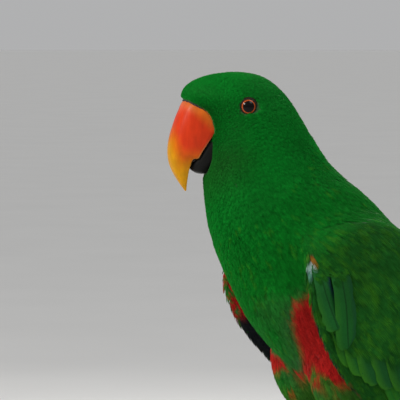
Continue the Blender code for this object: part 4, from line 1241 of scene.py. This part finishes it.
# region, barbs of a feather, rise over the skin, variety of its barbs' brightness, contrast along the feather,
# share of lighter feathers, unwrap
coatPieces = (
    ("face", 3, 0.7, 0.1, 0.55, 0.0, bodyUnwrap),
    ("cheek", 3, 0.8, 0.11, 0.57, 0.0, bodyUnwrap),
    ("head", 3, 0.9, 0.12, 0.6, 0.0, bodyUnwrap),
    ("neck", 4, 1.25, 0.18, 0.7, 0.05, bodyUnwrap),
    ("breast", 4, 1.35, 0.22, 0.85, 0.08, bodyUnwrap),
    ("back", 4, 1.35, 0.2, 0.85, 0.08, bodyUnwrap),
    ("thighs", 4, 1.1, 0.2, 0.9, 0.15, thighUnwrap),
    ("arm_left", 4, 1.7, 0.24, 1.0, 0.3, wingUnwrap),
    ("arm_right", 4, 1.7, 0.24, 1.0, 0.3, wingUnwrap),
)

print("coat")
for number, (region, barbs, rise, vary, contrast, mottle, unwrap) in enumerate(coatPieces):
    roots, normals = scatterRoots(skin, lambda p: tuftDensity(p) * (coatRegion(p) == region), 11 + number)
    if region in ("face", "cheek", "head", "neck"):
        keep = openFace(roots, normals)
        roots, normals = roots[keep], normals[keep]
    growCoat("coat_" + region, skin, roots, normals, 1.0, rise, barbs, vary, contrast, mottle, 11 + number, unwrap)


# Flight feathers and their coverts

vaneForm = {
    "thick": 0.26,
    "shaft": 0.16,
    "rows": (0, 0.08, 0.18, 0.3, 0.42, 0.54, 0.65, 0.74, 0.82, 0.88, 0.92, 0.95, 0.975, 0.99, 1.0),
    "columns": (-1, -0.72, -0.42, -0.16, -0.045, 0, 0.045, 0.16, 0.42, 0.72, 1),
    "round": ((0, 0.2, 0.6, 0.8, 0.9, 0.955, 0.985, 1.0), (0.8, 0.98, 1.0, 0.95, 0.78, 0.56, 0.32, 0.08)),
    "pointed": ((0, 0.3, 0.6, 0.78, 0.88, 0.95, 0.985, 1.0), (0.5, 0.95, 1.0, 0.88, 0.66, 0.38, 0.16, 0.04)),
    "square": ((0, 0.3, 0.8, 0.93, 0.97, 0.985, 0.995, 1.0), (0.6, 0.95, 1.0, 0.98, 0.9, 0.74, 0.5, 0.16)),
}

# tiers of the wing, each from the lower edge up. tips is how far back each feather ends, places where its tip
# lies across the wing (1 is the lower edge), drift how that changes for each mm along, and lengths its length
tiers = {
    "primary": {
        "count": 10, "tips": (209, 220, 222, 212, 199, 184), "root": 66, "lift": 0.7, "sink": 0.0, "hidden": 0.3,
        "tip": "pointed",
    },
    "secondary": {
        "count": 11, "tips": (97, 109, 120, 131, 140, 147), "places": (1, 0.97, 0.87, 0.74, 0.58, 0.39),
        "drift": (0.004, 0.004, 0.003, 0.0022, 0.0015, 0.001), "lengths": (46, 54, 62, 68, 74, 78), "width": 0.2,
        "lift": 3.2, "sink": 0.8, "hidden": 0.3, "tip": "round",
    },
    "greater": {
        "count": 10, "tips": (48, 56, 65, 74, 81, 87, 91, 93), "places": (1, 0.99, 0.96, 0.9, 0.8, 0.68, 0.56, 0.43),
        "drift": (0.004, 0.006, 0.007, 0.0065, 0.005, 0.003, 0.001), "lengths": (34, 38, 42, 44, 46, 46, 44),
        "width": 0.2, "lift": 5.0, "sink": 3.6, "hidden": 0.5, "tip": "round",
    },
    "median": {
        "count": 2, "tips": (31, 39), "places": (0.995, 0.99), "drift": (0.002, 0.0085), "lengths": (27, 33),
        "width": 0.19, "lift": 6.0, "sink": 4.4, "hidden": 0.32, "tip": "round",
    },
}
layerStep = 0.85            # rise from one vane to the next of six
primaryEnds = {"along": (100, 184, 199, 212, 222), "last": (1, 1, 0.8, 0.6, 0.34)}


def spreadValues(values, count):
    return through(np.linspace(0, 1, len(values)), values, np.linspace(0, 1, count))


# starts and widths across the wing of every feather of a tier, at places along it
def primaryLayout(tier, along):
    rank = np.linspace(0, 1, tier["count"])
    width = 0.2 + 0.2 * ease((along - 90) / 130)
    last = through(primaryEnds["along"], primaryEnds["last"], along)
    return (1 - width) * (1 - rank[:, None, None] / last), width


def coveredLayout(tier, along):
    count = tier["count"]
    places, drift, tips = (spreadValues(tier[k], count)[:, None, None] for k in ("places", "drift", "tips"))
    return places - tier["width"] - drift * (tips - along), tier["width"]


# every vane of a tier at once, arrays (feather, row, column): its top lies one layer over its lower neighbour
def tierVanes(side, tier, seed):
    rng = np.random.default_rng(seed)
    count = tier["count"]
    tips = spreadValues(tier["tips"], count) + rng.uniform(-0.8, 0.8, count)
    lengths = tips - tier["root"] if "root" in tier else spreadValues(tier["lengths"], count)
    t = np.array(vaneForm["rows"])
    along = (tips - lengths)[:, None] + lengths[:, None] * t
    layout = primaryLayout if "root" in tier else coveredLayout
    starts, width = layout(tier, along[None])
    own = np.arange(count)
    near = np.clip(starts[own, own], 0, 0.94)
    far = np.clip(starts[own, own] + (width[0] if np.ndim(width) else width), near + 0.06, 1.0)
    column = np.array(vaneForm["columns"])
    breadth = through(*vaneForm[tier["tip"]], t)
    split = 1 - 0.14 * (rng.uniform(0, 1, (count, len(t), 2)) > 0.86) * (t[None, :, None] > 0.35)
    edge = np.ones((count, len(t), len(column)))
    edge[..., 0], edge[..., -1] = split[..., 0], split[..., 1]
    bend = 0.04 * np.sin(t * math.pi)[None, :, None]
    share = ((near + far) / 2)[..., None] + (column * edge + bend) / 2 * (far - near)[..., None] * breadth[:, None]
    # rank of the stack at each place across: 0 at the lowest feather's start, one more at each next start
    step = layerStep * 6 / count
    over = np.empty_like(share)
    for i in range(count):
        for r in range(len(t)):
            line = starts[::-1, i, r]
            gap = np.maximum(np.diff(line), 1e-3)
            line = np.concatenate([[line[0]], line[0] + np.cumsum(gap)])
            rank = -np.arange(count)[::-1] * step
            reach = np.interp(share[i, r], line, rank)
            reach += np.maximum(share[i, r] - line[-1], 0) * step / gap[-1]
            reach -= np.maximum(line[0] - share[i, r], 0) * step / gap[0]
            over[i, r] = np.clip(reach + i * step, -0.6, 2.4)
    depth = tier["sink"] * (1 - ease((along - along[:, :1]) / (tier["hidden"] * lengths[:, None])))
    height = tier["lift"] + over - depth[..., None]
    crown = 0.25 * (1 - column**2)
    shaft = vaneForm["shaft"] * (np.abs(column) < 0.02) * (1 - 0.7 * t[:, None])
    thin = vaneForm["thick"] * (1 - 0.65 * np.abs(column)) * (1 - 0.4 * t[:, None])
    along3 = along[..., None] + 0 * share
    top = wingPoint(side, along3, share, height + crown + thin + shaft)
    bottom = wingPoint(side, along3, share, height + crown)
    return top, bottom, {"t": t, "column": column, "rank": np.linspace(0, 1, count), "along": along3, "share": share}


# joins many closed vanes, arrays (feather, row, column), into one set of points, faces, uvs and tints
def vaneMesh(top, bottom, topTint, bottomTint, facts):
    count, rows, columns = top.shape[:3]
    points, faces = closedPlate(top[0], bottom[0])
    each = len(points)
    points = np.concatenate([top.reshape(count, -1, 3), bottom.reshape(count, -1, 3)], 1).reshape(-1, 3)
    faces = (np.arange(count)[:, None, None] * each + faces).reshape(-1, 4)
    tint = np.concatenate([topTint.reshape(count, -1, 3), bottomTint.reshape(count, -1, 3)], 1).reshape(-1, 3)
    u, v = np.broadcast_arrays(0.5 + 0.5 * facts["column"][None, :], facts["t"][:, None])
    vane = np.stack([u, v], -1).reshape(1, -1, 2).repeat(2 * count, 0).reshape(-1, 2)
    return points, faces, tint, vane


def layColours(base, *layers):
    tint = base
    for colour, share in layers:
        tint = blend(tint, palette[colour], np.asarray(share)[..., None])
    return tint


# tints of one tier: the outer web shows, the inner web is covered and dark
def tierTint(name, facts, seed):
    rng = np.random.default_rng(seed)
    shape = facts["share"].shape
    column = facts["column"][None, None, :] + np.zeros(shape)
    t = facts["t"][None, :, None] + np.zeros(shape)
    inner = ease((-0.12 - column) / 0.35)
    single = rng.normal(1, 0.07, (shape[0], 1, 1, 1))
    base = palette["covert"] + np.zeros(shape + (3,))
    if name == "primary":
        outer = ease((column - 0.35) / 0.3)
        fore = facts["rank"][:, None, None]
        top = layColours(base, ("black", 1.0 + 0 * t), ("blue", 0.85 * outer), ("covert", 0.7 * outer * ease((0.55 - t) / 0.2)))
        top = layColours(top, ("blue", 0.35 * ease((t - 0.3) / 0.3) * (1 - fore)))
    elif name == "secondary":
        top = layColours(base, ("navy", inner), ("leaf", 0.3 * ease((column - 0.6) / 0.4)), ("black", 0.6 * inner))
    else:
        leaf = ease((column - 0.45) / 0.5) * ease((t - 0.2) / 0.4)
        first = facts["rank"][:, None, None] < 0.2
        hidden = ease((-0.5 - column) / 0.3) * (0.25 + 0.6 * first)
        shaftLine = 0.3 * ease((0.35 - np.abs(column)) / 0.35)
        top = layColours(base, ("longCovert", 0.85 - 0.4 * rng.uniform(0, 1, (shape[0], 1, 1))), ("navy", hidden))
        top = layColours(top, ("leaf", (0.3 + 0.3 * (name == "greater")) * leaf), ("longCovert", shaftLine + 0 * t))
    under = layColours(base * 0, ("black", 1.0 + 0 * t))
    if name in ("greater", "median"):
        under = layColours(base * 0, ("longCovert", 1.0 + 0 * t))
    if name == "secondary":
        under = layColours(under, ("red", ease((0.35 - t) / 0.2)))
    return top * single, under


# where each side of each feather lies in the bake map: a cell a feather, tops in the lower half, undersides above
def vaneCells(vane, feathers, row, rows):
    number = np.arange(len(vane))
    each = len(vane) // feathers
    below = (number % each) >= each // 2
    corner = np.stack([0.005 + number // each * 0.082, (0.01 + row / rows * 0.48) + 0.5 * below], -1)
    return corner + vane * (0.075, 0.44 / rows)


def makeWing(side, word):
    parts, count = [], 0
    for number, (name, tier) in enumerate(tiers.items()):
        top, bottom, facts = tierVanes(side, tier, 31 + number)
        topTint, bottomTint = tierTint(name, facts, 41 + number)
        points, faces, tint, vane = vaneMesh(top, bottom, topTint, bottomTint, facts)
        bake = vaneCells(vane, tier["count"], number, len(tiers))
        parts.append((points, faces + count, tint, vane, bake))
        count += len(points)
    points, faces, tint, vane, bake = (np.concatenate(v) for v in zip(*parts))
    piece = makePiece(f"wing_feathers_{word}", points, [faces], {"OFBake": bake, "vane": vane}, np.clip(tint, 0, 1), 50)
    print(piece.name, len(faces) * 2, "triangles")
    return finishPiece(piece, featherVane, "green_feathers")


# soft feathers over the roots of the coverts, laid on the tops of the vanes: piece, rows of a vane that carry
# them, layers, size
coverlets = (("greater", 6, 1.5, 0.8), ("median", 3, 1.5, 0.5))


# the open tops of a tier's vanes as one mesh, for feathers to be laid on
def vaneGround(name, top):
    feathers, rows, columns = top.shape[:3]
    faces = (np.arange(feathers)[:, None, None] * rows * columns + gridQuads(rows, columns)).reshape(-1, 4)
    return makePiece(name, top.reshape(-1, 3), [faces])


def makeCoverlets(side, word):
    for number, (name, rows, layers, size) in enumerate(coverlets):
        top, _, _ = tierVanes(side, tiers[name], 31 + list(tiers).index(name))
        whole, carrying = vaneGround("vaneTops", top), vaneGround("vaneRoots", top[:, :rows])
        roots, normals = scatterRoots(carrying, lambda p: layers * tuftDensity(p), 61 + number)
        ground, up = layOnSkin(skin, roots)
        keep = ((roots - ground) * up).sum(-1) > -0.4
        growCoat(
            f"coverlets_{name}_{word}", whole, roots[keep], normals[keep], size, 0.7, 4, 0.24, 1.0, 0.3, 71 + number,
            wingUnwrap,
        )
        bpy.data.objects.remove(whole)
        bpy.data.objects.remove(carrying)


for wingSide, wingWord in ((1, "left"), (-1, "right")):
    makeWing(wingSide, wingWord)
    makeCoverlets(wingSide, wingWord)
bpy.data.objects.remove(softSkin)


tail = {"end": 246.0, "root": 140.0, "pairs": 6, "width": 12.0, "layer": 0.85}


# six pairs of square-ended feathers, the middle pair on top and each next one a layer lower
def makeTail():
    t = np.array(vaneForm["rows"])
    column = np.array(vaneForm["columns"])
    tops, bottoms = [], []
    for side in (1, -1):
        for i in range(tail["pairs"]):
            tip = tail["end"] - 0.35 * i * i
            along = (tail["root"] + (tip - tail["root"]) * t)[:, None]
            fan = 0.55 + 0.45 * ease((along - tail["root"]) / (tail["end"] - tail["root"]))
            middle = side == 1 and i == 0
            inner = 0.25 + 2.75 * i * fan - 3.0 * fan * middle
            wide = tail["width"] * fan * (1.25 if middle else 1.0)
            breadth = through(*vaneForm["square"], t)[:, None]
            x = inner + wide / 2 + column / 2 * wide * breadth
            rise = tail["layer"] * (x / (2.75 * fan) - i + middle)
            dorsal = -3.6 - 0.012 * (along - 130) - 0.008 * x * x + rise + 0.2 * (1 - column**2)
            thin = vaneForm["thick"] * (1 - 0.6 * np.abs(column)) + vaneForm["shaft"] * (np.abs(column) < 0.02)
            for surface, height in ((tops, dorsal + thin), (bottoms, dorsal)):
                y, z = trunkPoint(along + 0 * x, height)
                surface.append(np.stack([side * x, y, z], -1))
    top, bottom = np.array(tops), np.array(bottoms)
    top[tail["pairs"]:], bottom[tail["pairs"]:] = top[tail["pairs"]:, :, ::-1].copy(), bottom[tail["pairs"]:, :, ::-1].copy()
    facts = {"t": t, "column": column}
    shape = top.shape[:3]
    place = t[None, :, None] + np.zeros(shape)
    off = np.abs(column)[None, None] + np.zeros(shape)
    base = palette["covert"] + np.zeros(shape + (3,))
    tint = layColours(base, ("blue", 0.75 * ease((place - 0.5) / 0.4) * (0.5 + 0.5 * off)), ("tailTip", 0.8 * ease((place - 0.965) / 0.03)))
    under = layColours(base * 0, ("tailUnder", 1 + 0 * place), ("tailTip", 0.7 * ease((place - 0.95) / 0.04)))
    points, faces, tint, vane = vaneMesh(top, bottom, tint, under, facts)
    bake = vaneCells(vane, shape[0], 0, 1)
    piece = makePiece("tail_feathers", points, [faces], {"OFBake": bake, "vane": vane}, tint, 50)
    return finishPiece(piece, featherVane, "green_feathers")


makeTail()


# Legs, feet and claws

perchForm = {"z": 91.0, "radius": 12.0, "half": 72.0}
toes = (   # name, degrees round the perch (front is positive), place across at its root and at its tip
    ("second", 64.0, -2.8, -8.5),
    ("third", 94.0, 3.0, 8.0),
    ("first", -52.0, -3.0, -8.0),
    ("fourth", -90.0, 3.0, 9.0),
)
clawForm = {"turn": 44.0, "root": 1.6, "tip": 0.12, "arch": 1.1}


# points by their angle round the perch, from its top towards the front, and height over the bark
def roundPerch(angle, across, lift):
    radius = perchForm["radius"] + lift
    return np.stack([across + 0 * angle, -radius * np.sin(angle), perchForm["z"] + radius * np.cos(angle)], -1)


# low domes in staggered rows: 1 at a scale's middle, 0 between scales
def scales(run, girth, size):
    u, v = run / size, girth / size
    row = np.floor(v)
    du = (u + 0.5 * (row % 2)) % 1 - 0.5
    dv = v % 1 - 0.5
    return np.clip(1 - 3.6 * (du * du + dv * dv), 0, 1) ** 0.6


def makeFoot(side, word):
    points, faces, count = [], [], 0
    ankle = np.array(legForm["ankle"][side]) * (side, 1, 1)
    soleZ = perchForm["z"] + perchForm["radius"] + legForm["clear"] + legForm["toeRadius"] + 0.6
    sole = np.array([side * legForm["footX"], 0.5, soleZ])
    t = np.linspace(-0.1, 1.04, 70)
    path = ankle + (sole - ankle) * t[:, None]
    around = 56
    girth = np.arange(around) / around
    radii = through(np.linspace(-0.1, 1, 6), legForm["shank"], t) - 0.1
    run = (t * np.linalg.norm(sole - ankle))[:, None] + 0 * girth
    relief = 0.16 * scales(run, girth * 18.0, 1.5)
    strands = [sweep(path, radii, (0, -1, 0), around, relief)]
    for name, reach, root, tip in toes:
        t = np.linspace(0, 1, 90)
        angle = np.radians(reach * t - math.copysign(5, reach) * (1 - t))
        across = side * (legForm["footX"] + root + (tip - root) * t**0.8)
        pads = 0.07 * np.cos(t * 5 * math.pi)
        radii = (legForm["toeRadius"] - 0.9 * t) * (1 + pads) * np.sqrt(np.clip((1.02 - t) / 0.07, 0.05, 1))
        path = roundPerch(angle, across, legForm["clear"] + legForm["toeRadius"] - 0.9 * t + 0.1)
        up = unit(path - np.stack([path[:, 0], 0 * t, 0 * t + perchForm["z"]], -1))
        girth = np.arange(around) / around
        above = np.cos(girth * 2 * math.pi)
        run = (t * np.abs(reach) * math.pi / 180 * 15)[:, None]
        scute = np.abs(np.sin(run * math.pi / 1.9)) ** 0.5
        fine = scales(run + 0 * girth, girth * 16.0, 1.15)
        relief = 0.2 * scute * ease((above - 0.25) / 0.4) + 0.11 * fine * (1 - ease((above - 0.25) / 0.4)) - 0.12
        strands.append(sweep(path, radii, up, around, relief))
    for rings in strands:
        quads, fans = ringFaces(*rings.shape[:2])
        points.append(ringPoints(rings))
        faces += [quads + count, fans + count]
        count += len(points[-1])
    piece = makePiece(f"foot_skin_{word}", np.concatenate(points), faces)
    return finishPiece(piece, footMaterial, "leg_skin", f"foot_{word}")


# claws: tapering hooks past the toes, their section drawn in below
def makeClaws(side, word):
    points, faces, count = [], [], 0
    for name, reach, root, tip in toes:
        t = np.linspace(0, 1, 34)
        way = math.copysign(1, reach)
        start = reach + way * math.degrees(1.9 * legForm["clear"] / (perchForm["radius"] + 2.5)) - way * 2.5
        angle = np.radians(start + way * (clawForm["turn"] + 2.5) * t)
        radii = clawForm["root"] * (1 - t) ** 0.8 + clawForm["tip"]
        lift = legForm["clear"] + radii + 0.25 + clawForm["arch"] * np.sin(math.pi * t)
        across = side * (legForm["footX"] + tip + (tip - root) * 0.12 * t)
        path = roundPerch(angle, across, lift)
        up = unit(path - np.stack([path[:, 0], 0 * t, 0 * t + perchForm["z"]], -1))
        turn = np.arange(22) * 2 * math.pi / 22
        rings = sweep(path, radii, up, 22, -0.12 * radii[:, None] * np.cos(2 * turn + math.pi)[None] * -1)
        quads, fans = ringFaces(*rings.shape[:2])
        points.append(ringPoints(rings))
        faces += [quads + count, fans + count]
        count += len(points[-1])
    piece = makePiece(f"claws_{word}", np.concatenate(points), faces)
    return finishPiece(piece, clawMaterial, "claw", *(f"claw_{word}_{toe[0]}" for toe in toes))


print("feet")
footMaterial, footTree, footShader = newMaterial("scalySkin", 0.6, Specular_IOR_Level=0.35)
footColour = ramp(footTree, spaceNoise(footTree, 420.0), (0.3, (0.05, 0.055, 0.062)), (0.7, (0.13, 0.135, 0.14)))
footTree.links.new(footColour, footShader.inputs["Base Color"])
addBump(footTree, footShader, spaceNoise(footTree, 1600.0, 4.0), 0.4, 0.0003)
clawMaterial, clawTree, clawShader = newMaterial("clawHorn", 0.25, Coat_Weight=0.4, Coat_Roughness=0.15)
clawColour = ramp(clawTree, spaceNoise(clawTree, 600.0), (0.3, (0.008, 0.008, 0.009)), (0.7, (0.035, 0.032, 0.03)))
clawTree.links.new(clawColour, clawShader.inputs["Base Color"])
addBump(clawTree, clawShader, spaceNoise(clawTree, 1500.0, stretch=(1, 0.3, 0.3)), 0.2, 0.0002)
for footSide, footWord in ((1, "left"), (-1, "right")):
    makeFoot(footSide, footWord)
    makeClaws(footSide, footWord)


# Perch and stand

barkForm = {"steps": 320, "around": 150, "furrow": 0.5, "lump": 0.35}


# the branch: a rod with lengthwise furrows pressed in, and sawn ends with a worn rim
def makePerch():
    half = perchForm["half"]
    x = np.linspace(-half, half, barkForm["steps"])
    away = ease((np.abs(x) - 34) / 30)
    radii = perchForm["radius"] + away * (0.9 * np.sin(x * 0.09) - 0.4) - 0.05
    radii -= 0.7 * ease((np.abs(x) - half + 1.6) / 1.6)
    turn = np.arange(barkForm["around"]) * 2 * math.pi / barkForm["around"]
    place = np.stack([
        x[:, None] * 0.16 + 0 * turn, 12 * np.cos(turn) + 0 * x[:, None], 12 * np.sin(turn) + 0 * x[:, None],
    ], -1)
    furrow = np.abs(softNoise(place, 7.0, 61)) ** 0.6
    fine = softNoise(place * (2.2, 1, 1), 2.6, 62)
    relief = -barkForm["furrow"] * np.clip(1 - 1.6 * furrow, 0, 1) - barkForm["lump"] * (0.5 + 0.5 * fine) * 0.5
    path = np.stack([x, 0 * x, perchForm["z"] + 0 * x], -1)
    rings = sweep(path, radii, (0, 0, 1), barkForm["around"], relief)
    shares = np.array([0.97, 0.7, 0.35, 0.08])[:, None, None]
    start, finish = (ring.mean(0) + (ring - ring.mean(0)) * shares for ring in (rings[0], rings[-1]))
    rings = np.concatenate([start[::-1], rings, finish])
    quads, fans = ringFaces(*rings.shape[:2])
    piece = makePiece("perch_branch", ringPoints(rings), [quads, fans], sharp=50)
    material, tree, shader = newMaterial("bark", 0.85, Specular_IOR_Level=0.2)
    streak = spaceNoise(tree, 260.0, 6.0, 0.6, stretch=(0.12, 1, 1))
    colour = ramp(tree, streak, (0.3, (0.09, 0.065, 0.05)), (0.5, (0.24, 0.19, 0.155)), (0.72, (0.42, 0.36, 0.31)))
    patch = ramp(tree, spaceNoise(tree, 45.0, 3.0), (0.35, 0.7), (0.65, 1.1))
    tree.links.new(multiply(tree, colour, patch), shader.inputs["Base Color"])
    addBump(tree, shader, streak, 0.6, 0.0008)
    piece.data.materials.append(material)
    piece.data.materials.append(sawnMaterial())
    count = len(piece.data.polygons)
    end = np.empty(count * 3, np.float32)
    piece.data.polygons.foreach_get("normal", end)
    piece.data.polygons.foreach_set("material_index", (np.abs(end.reshape(-1, 3)[:, 0]) > 0.8).astype(np.int32))
    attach(piece, "root")
    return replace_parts(piece, "perch")


# sawn wood: rings about the branch's middle line, as a wave over the distance from it, with a fine mottle over them
def sawnMaterial():
    material, tree, shader = newMaterial("sawnEnd", 0.75, Specular_IOR_Level=0.25)
    place = addNode(tree, "TexCoord")
    mapping = setInput(addNode(tree, "Mapping"), Location=(0, 0.0, -perchForm["z"] * mm), Scale=(0, 1, 1))
    tree.links.new(place.outputs["Object"], mapping.inputs["Vector"])
    wave = addNode(tree, "TexWave", wave_type="RINGS", rings_direction="X")
    setInput(wave, Scale=260.0, Distortion=1.6, Detail=2.0, Detail_Scale=1.2)
    tree.links.new(mapping.outputs["Vector"], wave.inputs["Vector"])
    colour = ramp(tree, wave.outputs["Fac"], (0.1, (0.3, 0.2, 0.12)), (0.8, (0.52, 0.4, 0.27)))
    tree.links.new(multiply(tree, colour, ramp(tree, spaceNoise(tree, 500.0), (0.3, 0.8), (0.7, 1.1))), shader.inputs["Base Color"])
    addBump(tree, shader, wave.outputs["Fac"], 0.3, 0.0002)
    return material


stand = {
    "base": (   # radius and height of the turned base's profile, from the middle of its top down its side
        (0.5, 10.0), (20, 10.0), (45, 10.0), (64, 10.0), (66, 9.9), (66.6, 9.3), (67.2, 9.2), (68.4, 9.35),
        (70.2, 9.3), (72.0, 8.6), (73.3, 7.3), (73.9, 5.6), (74.0, 3.6), (73.8, 1.8), (73.2, 0.6), (72.4, 0.0), (40, 0.0),
        (0.5, 0.0),
    ),
    "rodX": 52.0,
    "rodRadius": 3.15,
    "rodFoot": 10.0,
    "collar": (5.2, 2.2),   # radius and height of the ring at a rod's foot
}


# a turned form: its (radius, height) profile carried round the upright through (x, y)
def turnedRings(profile, x, y, around):
    profile = np.array(profile, float)
    turn = np.arange(around) * 2 * math.pi / around
    return np.stack([
        x + profile[:, :1] * np.cos(turn), y + profile[:, :1] * np.sin(turn), profile[:, 1:] + 0 * turn,
    ], -1)


def woodMaterial():
    material, tree, shader = newMaterial("darkWood", 0.38, Coat_Weight=0.3, Coat_Roughness=0.25)
    grain = spaceNoise(tree, 90.0, 5.0, 0.6, stretch=(0.12, 1, 1))
    colour = ramp(tree, grain, (0.3, (0.03, 0.015, 0.008)), (0.55, (0.085, 0.042, 0.022)), (0.75, (0.15, 0.08, 0.04)))
    pores = spaceNoise(tree, 900.0, 2.0, stretch=(0.06, 1, 1))
    colour = multiply(tree, colour, ramp(tree, pores, (0.36, 0.55), (0.46, 1.0)))
    tree.links.new(colour, shader.inputs["Base Color"])
    tree.links.new(ramp(tree, pores, (0.36, 0.6), (0.46, 0.36)), shader.inputs["Roughness"])
    addBump(tree, shader, pores, 0.15, 0.0002)
    return material


def steelMaterial():
    material, tree, shader = newMaterial("brushedSteel", 0.32, Metallic=1.0)
    lines = spaceNoise(tree, 1400.0, 2.0, stretch=(0.05, 0.05, 1))
    tree.links.new(ramp(tree, lines, (0.3, (0.42, 0.42, 0.43)), (0.7, (0.62, 0.62, 0.63))), shader.inputs["Base Color"])
    tree.links.new(ramp(tree, lines, (0.3, 0.26), (0.7, 0.42)), shader.inputs["Roughness"])
    addBump(tree, shader, lines, 0.15, 0.0001)
    return material


def makeStand():
    rings = turnedRings(stand["base"], 0, 0, 144)
    quads, fans = ringFaces(*rings.shape[:2])
    base = makePiece("base_plate", ringPoints(rings), [quads, fans], sharp=35)
    finishPiece(base, woodMaterial(), "stand_wood", "stand_base")
    steel = steelMaterial()
    for side, word in ((1, "left"), (-1, "right")):
        radius = stand["rodRadius"]
        wide, tall = stand["collar"]
        bottom = stand["rodFoot"]
        top = perchForm["z"] - perchForm["radius"] + 1.2
        profile = [(0.2, bottom), (wide, bottom), (wide, bottom + tall - 0.5), (wide - 0.5, bottom + tall)]
        profile += [(radius + 0.2, bottom + tall), (radius, bottom + tall + 0.4), (radius, top), (0.2, top)]
        rings = turnedRings(profile[::-1], side * stand["rodX"], 0, 48)
        quads, fans = ringFaces(*rings.shape[:2])
        piece = makePiece(f"steel_rod_{word}", ringPoints(rings), [quads, fans], sharp=35)
        finishPiece(piece, steel, "stand_steel", f"stand_rod_{word}")


print("perch and stand")
makePerch()
makeStand()


# Floor, light and camera

studio = {
    "floor": 40.0,          # radius
    "floorColour": (0.74, 0.735, 0.72),
    "sky": ((0.0, 0.44), (0.2, 0.48), (0.5, 0.56), (1.0, 0.6)),   # height of the view and brightness there
    "skyTint": (0.985, 0.99, 1.0),
    "lights": (   # name, place, size, power, colour
        ("key", (0.42, -1.1, 0.95), 0.34, 14.0, (1.0, 0.97, 0.92)),
        ("top", (0.5, 0.5, 1.25), 0.7, 6.0, (0.96, 0.98, 1.0)),
        ("back", (-0.85, 0.5, 0.8), 0.6, 6.0, (1.0, 0.98, 0.95)),
    ),
    "aim": (0.0, -0.04, 0.21),
}
view = {
    "azimuth": math.radians(72), "elevation": math.radians(3), "target": (-0.0204, -0.0628, 0.230),
    "distance": 1.5, "lens": 300.0, "sensor": 36.0,
}


# the floor: rings whose radius grows by a constant factor, so that its edge is far behind the horizon
def makeFloor():
    radius = np.geomspace(0.05, studio["floor"], 40)[:, None]
    turn = np.arange(96) * 2 * math.pi / 96
    rings = np.stack([radius * np.cos(turn), radius * np.sin(turn), 0 * radius * turn - 0.0002], -1)
    quads, fans = ringFaces(*rings.shape[:2])
    floor = makePiece("floor", ringPoints(rings)[:-1] / mm, [quads, fans[:96]])
    if floor.data.polygons[0].normal.z < 0:
        floor.data.flip_normals()
    material, tree, shader = newMaterial("paleFloor", 0.7, Specular_IOR_Level=0.2)
    low, high = (tuple(c * s for c in studio["floorColour"]) for s in (0.985, 1.015))
    tree.links.new(ramp(tree, spaceNoise(tree, 6.0), (0.3, low), (0.7, high)), shader.inputs["Base Color"])
    floor.data.materials.append(material)


# the sky is a soft grey that brightens with height
def makeSky():
    world = bpy.data.worlds.new("studio")
    world.use_nodes = True
    tree = world.node_tree
    way = addNode(tree, "TexCoord")
    split = addNode(tree, "SeparateXYZ")
    tree.links.new(way.outputs["Generated"], split.inputs["Vector"])
    stops = [(place, tuple(c * value for c in studio["skyTint"])) for place, value in studio["sky"]]
    tree.links.new(ramp(tree, split.outputs["Z"], *stops), tree.nodes["Background"].inputs["Color"])
    bpy.context.scene.world = world


def makeLights():
    for name, place, size, power, colour in studio["lights"]:
        light = bpy.data.lights.new(name, "AREA")
        light.shape = "DISK"
        light.size = size
        light.energy = power
        light.color = colour
        lamp = bpy.data.objects.new(name, light)
        lamp.location = place
        lamp.rotation_euler = (Vector(studio["aim"]) - Vector(place)).to_track_quat("-Z", "Y").to_euler()
        bpy.context.scene.collection.objects.link(lamp)


def makeCamera():
    camera = bpy.data.cameras.new("camera")
    camera.lens = view["lens"]
    camera.sensor_width = view["sensor"]
    holder = bpy.data.objects.new("camera", camera)
    level = math.cos(view["elevation"])
    back = Vector((math.sin(view["azimuth"]) * level, -math.cos(view["azimuth"]) * level, math.sin(view["elevation"])))
    holder.location = Vector(view["target"]) + back * view["distance"]
    holder.rotation_euler = (-back).to_track_quat("-Z", "Y").to_euler()
    bpy.context.scene.collection.objects.link(holder)
    bpy.context.scene.camera = holder


makeFloor()
makeSky()
makeLights()
makeCamera()
bpy.context.scene.view_settings.view_transform = "Standard"
